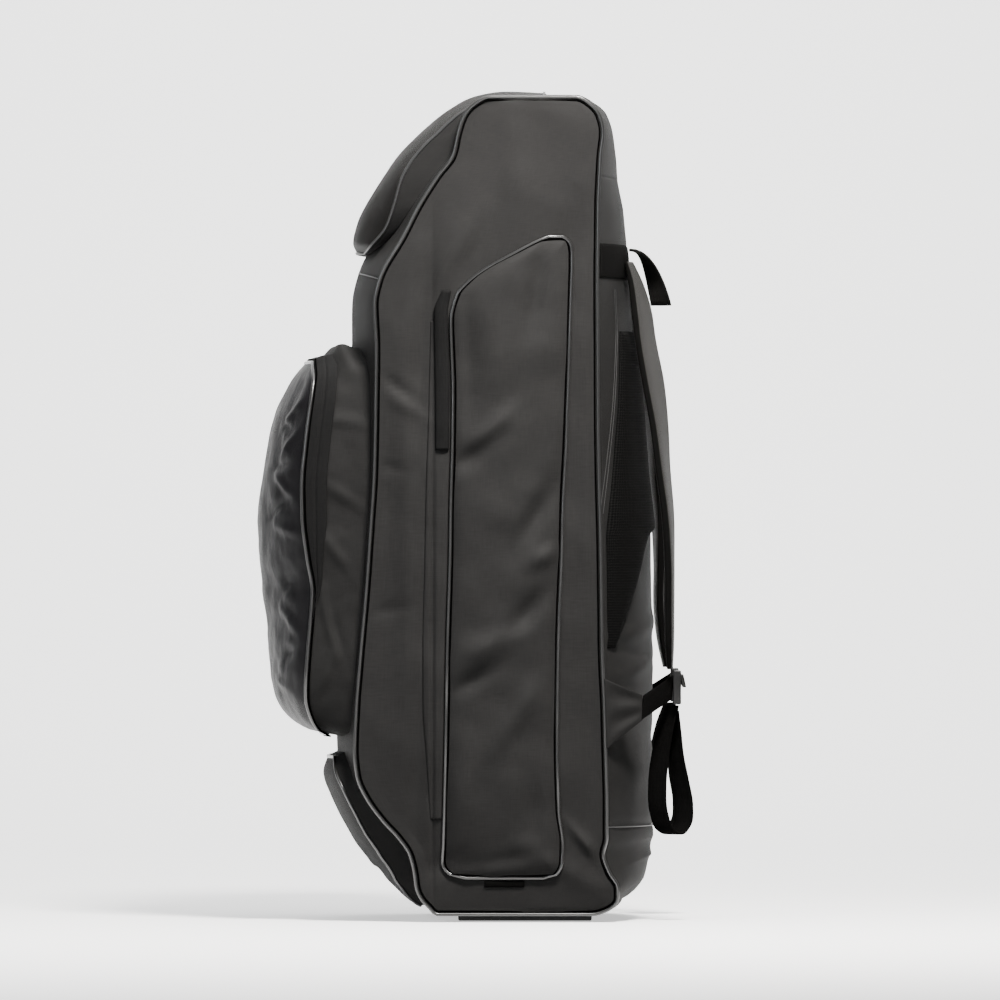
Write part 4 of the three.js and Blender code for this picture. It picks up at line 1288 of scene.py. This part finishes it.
# %% Shoulder straps
SHOULDER_STRAP = np.array([
    # height, spread, wide, thick, stand
    [0.800, 0.52, 0.76, 0.45, 7.4],
    [0.778, 0.54, 0.80, 0.80, 14],
    [0.745, 0.60, 0.88, 1.00, 22],
    [0.700, 0.68, 0.96, 1.00, 27],
    [0.652, 0.76, 1.00, 1.00, 34],
    [0.600, 0.83, 1.00, 1.00, 38],
    [0.545, 0.89, 1.00, 1.00, 40],
    [0.485, 0.94, 1.00, 1.00, 42],
    [0.425, 0.97, 0.98, 1.00, 42],
    [0.370, 0.99, 0.92, 1.00, 42],
    [0.325, 1.00, 0.80, 0.90, 42],
    [0.296, 1.00, 0.62, 0.60, 42],
])
STRAP_WIDTH, STRAP_THICKNESS, STRAP_SPREAD = 0.066, 0.011, 0.112
# The upper strap follows the round of the back, so it leans, by these degrees at these heights
TILT_HEIGHTS = [0.296, 0.425, 0.545, 0.652, 0.745, 0.800]
TILT_ANGLES = [2, 3, 9, 17, 16, 8]


# Straps never hang quite alike: the left one lies this much closer in its lower half
LEFT_CLOSER = 0.009


def strap_rows(side):
    across = side * SHOULDER_STRAP[:, 1] * STRAP_SPREAD / HALF_WIDTH
    stand = SHOULDER_STRAP[:, 4] * 0.001
    if side < 0:
        lower = np.interp(SHOULDER_STRAP[:, 0], [0.296, 0.36, 0.55, 0.72], [0.2, 1, 1, 0])
        stand = stand - LEFT_CLOSER * lower
    return skin(rear_run(SHOULDER_STRAP[:, 0]), across, stand)


def shoulder_strap(word, side):
    tilt = np.radians(np.interp(SHOULDER_STRAP[:, 0], TILT_HEIGHTS, TILT_ANGLES))
    widths = SHOULDER_STRAP[:, 2] * STRAP_WIDTH
    centres = strap_rows(side)
    centres[:, 1] -= np.sin(tilt) * widths * 0.34
    sides = np.stack([np.cos(tilt), -side * np.sin(tilt), 0 * tilt], axis=-1)
    name = f"shoulder_strap_{word}"
    thick = SHOULDER_STRAP[:, 3] * STRAP_THICKNESS
    item = ribbon(name, centres, sides, widths, thick, strap_cloth, [name],
                  0.45, 160, 40)
    for edge in (-1, 1):
        line = centres + sides * (edge * widths * 0.49)[:, None]
        upright = np.stack([-sides[:, 1], sides[:, 0], sides[:, 2]], axis=-1)
        place = "outer" if edge * side > 0 else "inner"
        ribbon(f"strap_binding_{word}_{place}", line, upright, thick * 0.62,
               [0.0035] * len(line), webbing, [], 0.6, 160, 12)


# %% [markdown]
# The buckle is a ladder lock: a frame with a bar across its middle, moulded with rounded
# edges. It is built of bars, side rails and three cross bars that leave two slots, with a
# raised lever, and their edges are bevelled.

# %% Buckles
BUCKLE = {"length": 0.038, "width": 0.038, "thickness": 0.009, "frame": 0.005}


def bar(mesh_bm, low, high):
    made_bar = bmesh.ops.create_cube(mesh_bm, size=1)
    for vert in made_bar["verts"]:
        shares = vert.co + Vector((0.5, 0.5, 0.5))
        vert.co = [a + share * (b - a) for a, b, share in zip(low, high, shares)]
    return made_bar["verts"]


def round_edges(shape, radius):
    bmesh.ops.bevel(shape, geom=shape.edges[:], offset=radius, segments=3, profile=0.5,
                    affect="EDGES", material=-1)


def buckle(word, side):
    low, high = (Vector(corner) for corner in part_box(f"strap_buckle_{word}"))
    rail = BUCKLE["frame"]
    middle = (low.z + high.z) / 2
    shape = bmesh.new()
    bar(shape, (low.x, low.y, low.z), (low.x + rail, high.y, high.z))
    bar(shape, (high.x - rail, low.y, low.z), (high.x, high.y, high.z))
    for start in (low.z, middle - rail / 2, high.z - rail):
        bar(shape, (low.x + rail * 0.5, low.y + 0.001, start),
            (high.x - rail * 0.5, high.y - 0.001, start + rail))
    lever = bar(shape, (low.x + rail * 0.6, high.y - 0.002, middle),
                (high.x - rail * 0.6, high.y + 0.0025, high.z - 0.004))
    for vert in lever:
        if vert.co.z < middle + 0.005:
            vert.co.y += 0.0035
    round_edges(shape, 0.0014)
    mesh = bpy.data.meshes.new(f"strap_buckle_{word}")
    shape.to_mesh(mesh)
    shape.free()
    keep(f"strap_buckle_{word}", mesh, plastic, [f"strap_buckle_{word}"])
    return low, high


# %% Webbing tails, wings and webs
TAIL = np.array([
    # back, drop, turn
    [-0.24, 0.00, 30],
    [-0.55, 0.16, 38],
    [-0.83, 0.38, 44],
    [-1.00, 0.62, 46],
    [-0.93, 0.84, 46],
    [-0.59, 0.97, 46],
    [-0.17, 1.00, 46],
    [0.28, 0.93, 46],
    [0.41, 0.78, 46],
    [0.21, 0.58, 44],
    [0.04, 0.40, 34],
    [0.03, 0.20, 18],
    [0.03, 0.04, 4],
])
TAIL_REACH, TAIL_DROP, TAIL_SHIFT = 0.021, 0.144, 0.001
WEB_WIDTH, WEB_THICKNESS = 0.028, 0.002
TAIL_TURNS = np.radians(TAIL[:, 2])


def strap_end(word, side):
    low, high = buckle(word, side)
    middle = (low + high) / 2
    top = low.z - 0.0013
    back, drop = TAIL[:, 0], TAIL[:, 1]
    bow = TAIL_SHIFT * (1 - (2 * drop - 1) ** 2)
    centres = np.stack([middle.x + 0 * back, middle.y - bow + back * TAIL_REACH,
                        top - drop * TAIL_DROP], axis=-1)
    turned = np.stack([np.cos(TAIL_TURNS), side * np.sin(TAIL_TURNS), 0 * TAIL_TURNS], axis=-1)
    name = f"strap_tail_{word}"
    count = len(centres)
    ribbon(name, centres, turned, [WEB_WIDTH] * count, [WEB_THICKNESS] * count, webbing, [name],
           samples=150)
    web_low, web_high = (Vector(corner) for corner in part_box(f"strap_web_{word}"))
    wing_low, wing_high = (Vector(corner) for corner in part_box(f"strap_wing_{word}"))
    tip_x = side * (HALF_WIDTH - 0.013)
    start = (tip_x, web_low.y + 0.001, (web_low.z + web_high.z) / 2 - 0.010)
    end = (middle.x + side * 0.006, low.y - 0.0008, middle.z)
    half = [start[axis] * 0.5 + end[axis] * 0.5 for axis in range(3)]
    name = f"strap_web_{word}"
    ribbon(name, [start, half, end], [(0, 0.1, 1)] * 3, [WEB_WIDTH] * 3, [WEB_THICKNESS] * 3,
           webbing, [name], samples=40)
    strap_wing(word, side, Vector(start), wing_low, wing_high)


def strap_wing(word, side, tip, low, high):
    def place(u, v):
        z_root = low.z + 0.002 + (high.z - low.z - 0.004) * v
        height = (z_root - BODY_BASE) / SIDE_HEIGHT
        y_root, _, _ = seam_point(rear_run(height))
        z_tip = tip.z + (v - 0.5) * WEB_WIDTH
        x = side * (HALF_WIDTH + 0.0025) + (tip.x - side * (HALF_WIDTH + 0.0025)) * u
        y = (y_root + 0.0015) + (tip.y - y_root - 0.0015) * u
        z = z_root + (z_tip - z_root) * u
        pleat = 0.0016 * np.sin(v * 14) * np.sin(np.pi * np.clip(u, 0, 1))
        return np.stack([x + side * pleat, y, z], axis=-1)

    name = f"strap_wing_{word}"
    # The wing is in the darker cloth, painted shade beside the back.
    cloth(name, 40, 40, place, (0.04, 0.08), shaded_cloth, [name], wall=0.0016,
          outward=(side * FAR, 0, 0))


for word, side in (("right", 1), ("left", -1)):
    back_pad(word, side)
    shoulder_strap(word, side)
    strap_end(word, side)
strap_yoke()
print("back, straps and buckles")


# %% [markdown]
# A seam shows as a thin sunk line. One crosses the front under the lid, one crosses the
# back above the heel, and two rows of stitches run beside each back pad.

# %% Seams
def cross_seam(name, run):
    across = np.linspace(-STRIP_REACH, STRIP_REACH, 60)
    line = skin(np.full_like(across, run), across, 0.0001)
    tube(name, line, 0.0006, dark_cord, closed=False)


def pad_stitches(word, side, aside):
    height = np.linspace(0.49, 0.765, 50)
    outer = smooth(BACK_PAD[:, 0], BACK_PAD[:, 2], height) + aside / HALF_WIDTH
    row = f"pad_stitches_{word}_{round(aside * 1000)}"
    line = skin(rear_run(height), side * outer, 0.0003)
    tube(row, line, 0.0005, dark_cord, closed=False)


cross_seam("front_seam", front_run(0.777))
cross_seam("heel_seam", rear_run(0.107))
for word, side in (("right", 1), ("left", -1)):
    for aside in (0.008, 0.013):
        pad_stitches(word, side, aside)
print("seams")


# %% [markdown]
# The haul loop is one piece of webbing, sewn to the yoke at both ends. It leaves flat, and
# turns over in the middle, so that from the side its width shows at the bottom.

# %% Haul loop
def haul_loop():
    low, high = (Vector(corner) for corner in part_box("haul_loop"))
    spread, reach, drop = 0.019, 0.036, 0.062
    foot = skin(rear_run(np.array([0.8165])), np.array([spread / HALF_WIDTH]), 0.0035)[0]
    angles = np.linspace(0, math.pi, 21)
    swing = np.sin(angles)
    centres = np.stack([spread * np.cos(angles), foot[1] + reach * swing,
                        foot[2] - drop * swing**2.6], axis=-1)
    turn = swing**1.6 * math.radians(68)
    sides = np.stack([np.cos(turn), np.sin(turn), 0 * turn], axis=-1)
    count = len(angles)
    ribbon("haul_loop", centres, sides, [0.025] * count, [0.0025] * count, loop_webbing,
           ["haul_loop"])
    print("haul loop reaches", round(high.y, 3), "and hangs to", round(low.z, 3))


haul_loop()

# %% [markdown]
# Two skid strips carry the bag. Each is a moulded bar with rounded ends.

# %% Runners
for word in ("right", "left"):
    low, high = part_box(f"base_runner_{word}")
    strip = bmesh.new()
    bar(strip, low, high)
    round_edges(strip, 0.002)
    mesh = bpy.data.meshes.new(f"base_runner_{word}")
    strip.to_mesh(mesh)
    strip.free()
    keep(f"base_runner_{word}", mesh, rubber, [f"base_runner_{word}"])

# %% [markdown]
# The stage is a pale sweep: a floor that turns up into a wall far behind, so there is no
# line between them. The key light hangs high beside the bag and grazes its flat side, so the
# folds show. A weaker one stands in front of the bag on the left, a wide one hangs overhead,
# and one lights the wall. The paper glows a little and doesn't light the bag, so the bag
# stays dark towards the floor, as in a large studio.

# %% Stage and lights
SWEEP_WIDTH = 8.0


def sweep():
    profile = bmesh.new()
    points = [(14.0, 0.0), (-3.0, 0.0)]
    for degrees in range(10, 91, 10):
        angle = math.radians(degrees)
        points.append((-3.0 - 2.0 * math.sin(angle), 2.0 - 2.0 * math.cos(angle)))
    points += [(-5.0, 9.0)]
    line = [profile.verts.new((x, -SWEEP_WIDTH / 2, z)) for x, z in points]
    edges = [profile.edges.new(pair) for pair in zip(line[:-1], line[1:])]
    grown = bmesh.ops.extrude_edge_only(profile, edges=edges)
    moved = [item for item in grown["geom"] if isinstance(item, bmesh.types.BMVert)]
    bmesh.ops.translate(profile, verts=moved, vec=(0, SWEEP_WIDTH, 0))
    bmesh.ops.recalc_face_normals(profile, faces=profile.faces)
    mesh = bpy.data.meshes.new("sweep")
    profile.to_mesh(mesh)
    profile.free()
    for face in mesh.polygons:
        face.use_smooth = True
    item = bpy.data.objects.new("sweep", mesh)
    bpy.context.scene.collection.objects.link(item)
    paper, _, shader = start_material("paper")
    shader.inputs["Base Color"].default_value = (0.86, 0.86, 0.855, 1)
    shader.inputs["Roughness"].default_value = 0.9
    shader.inputs["Specular IOR Level"].default_value = 0.1
    shader.inputs["Emission Color"].default_value = (1, 1, 0.995, 1)
    shader.inputs["Emission Strength"].default_value = 0.75
    mesh.materials.append(paper)
    item.visible_diffuse = False


def soft_light(name, place, target, size, power, color):
    data = bpy.data.lights.new(name, "AREA")
    data.shape = "RECTANGLE"
    data.size, data.size_y = size
    data.energy = power
    data.color = color
    item = bpy.data.objects.new(name, data)
    item.location = place
    item.rotation_euler = (Vector(target) - Vector(place)).to_track_quat("-Z", "Y").to_euler()
    bpy.context.scene.collection.objects.link(item)


sweep()
soft_light("key", (1.20, 0.45, 2.2), (0.15, 0.05, 0.64), (0.45, 0.45), 208, (1.0, 0.97, 0.94))
soft_light("fill", (2.6, -1.8, 1.4), (0, 0, 0.6), (0.6, 1.2), 42, (0.90, 0.95, 1.0))
soft_light("top", (0.0, 0.0, 3.6), (0, 0, 0), (3.0, 3.0), 130, (1, 1, 1))
soft_light("backdrop", (-2.6, 0.0, 3.2), (-5.0, 0, 0.4), (2.4, 0.8), 225, (1, 1, 1))
world = bpy.data.worlds.new("surroundings")
bpy.context.scene.world = world
world.use_nodes = True
sky = world.node_tree.nodes["Background"]
sky.inputs["Color"].default_value = (0.80, 0.80, 0.80, 1)
# The camera sees the surroundings as pale as the paper, but they light the bag only dimly
path = node(world.node_tree, "ShaderNodeLightPath")
pale = node(world.node_tree, "ShaderNodeMath", operation="MULTIPLY_ADD")
pale.inputs[1].default_value = 2.2
pale.inputs[2].default_value = 0.27
world.node_tree.links.new(path.outputs["Is Camera Ray"], pale.inputs[0])
world.node_tree.links.new(pale.outputs[0], sky.inputs["Strength"])

# %% [markdown]
# Last, the number of pieces made is printed.

# %% Count of pieces
print("pieces", len(made))
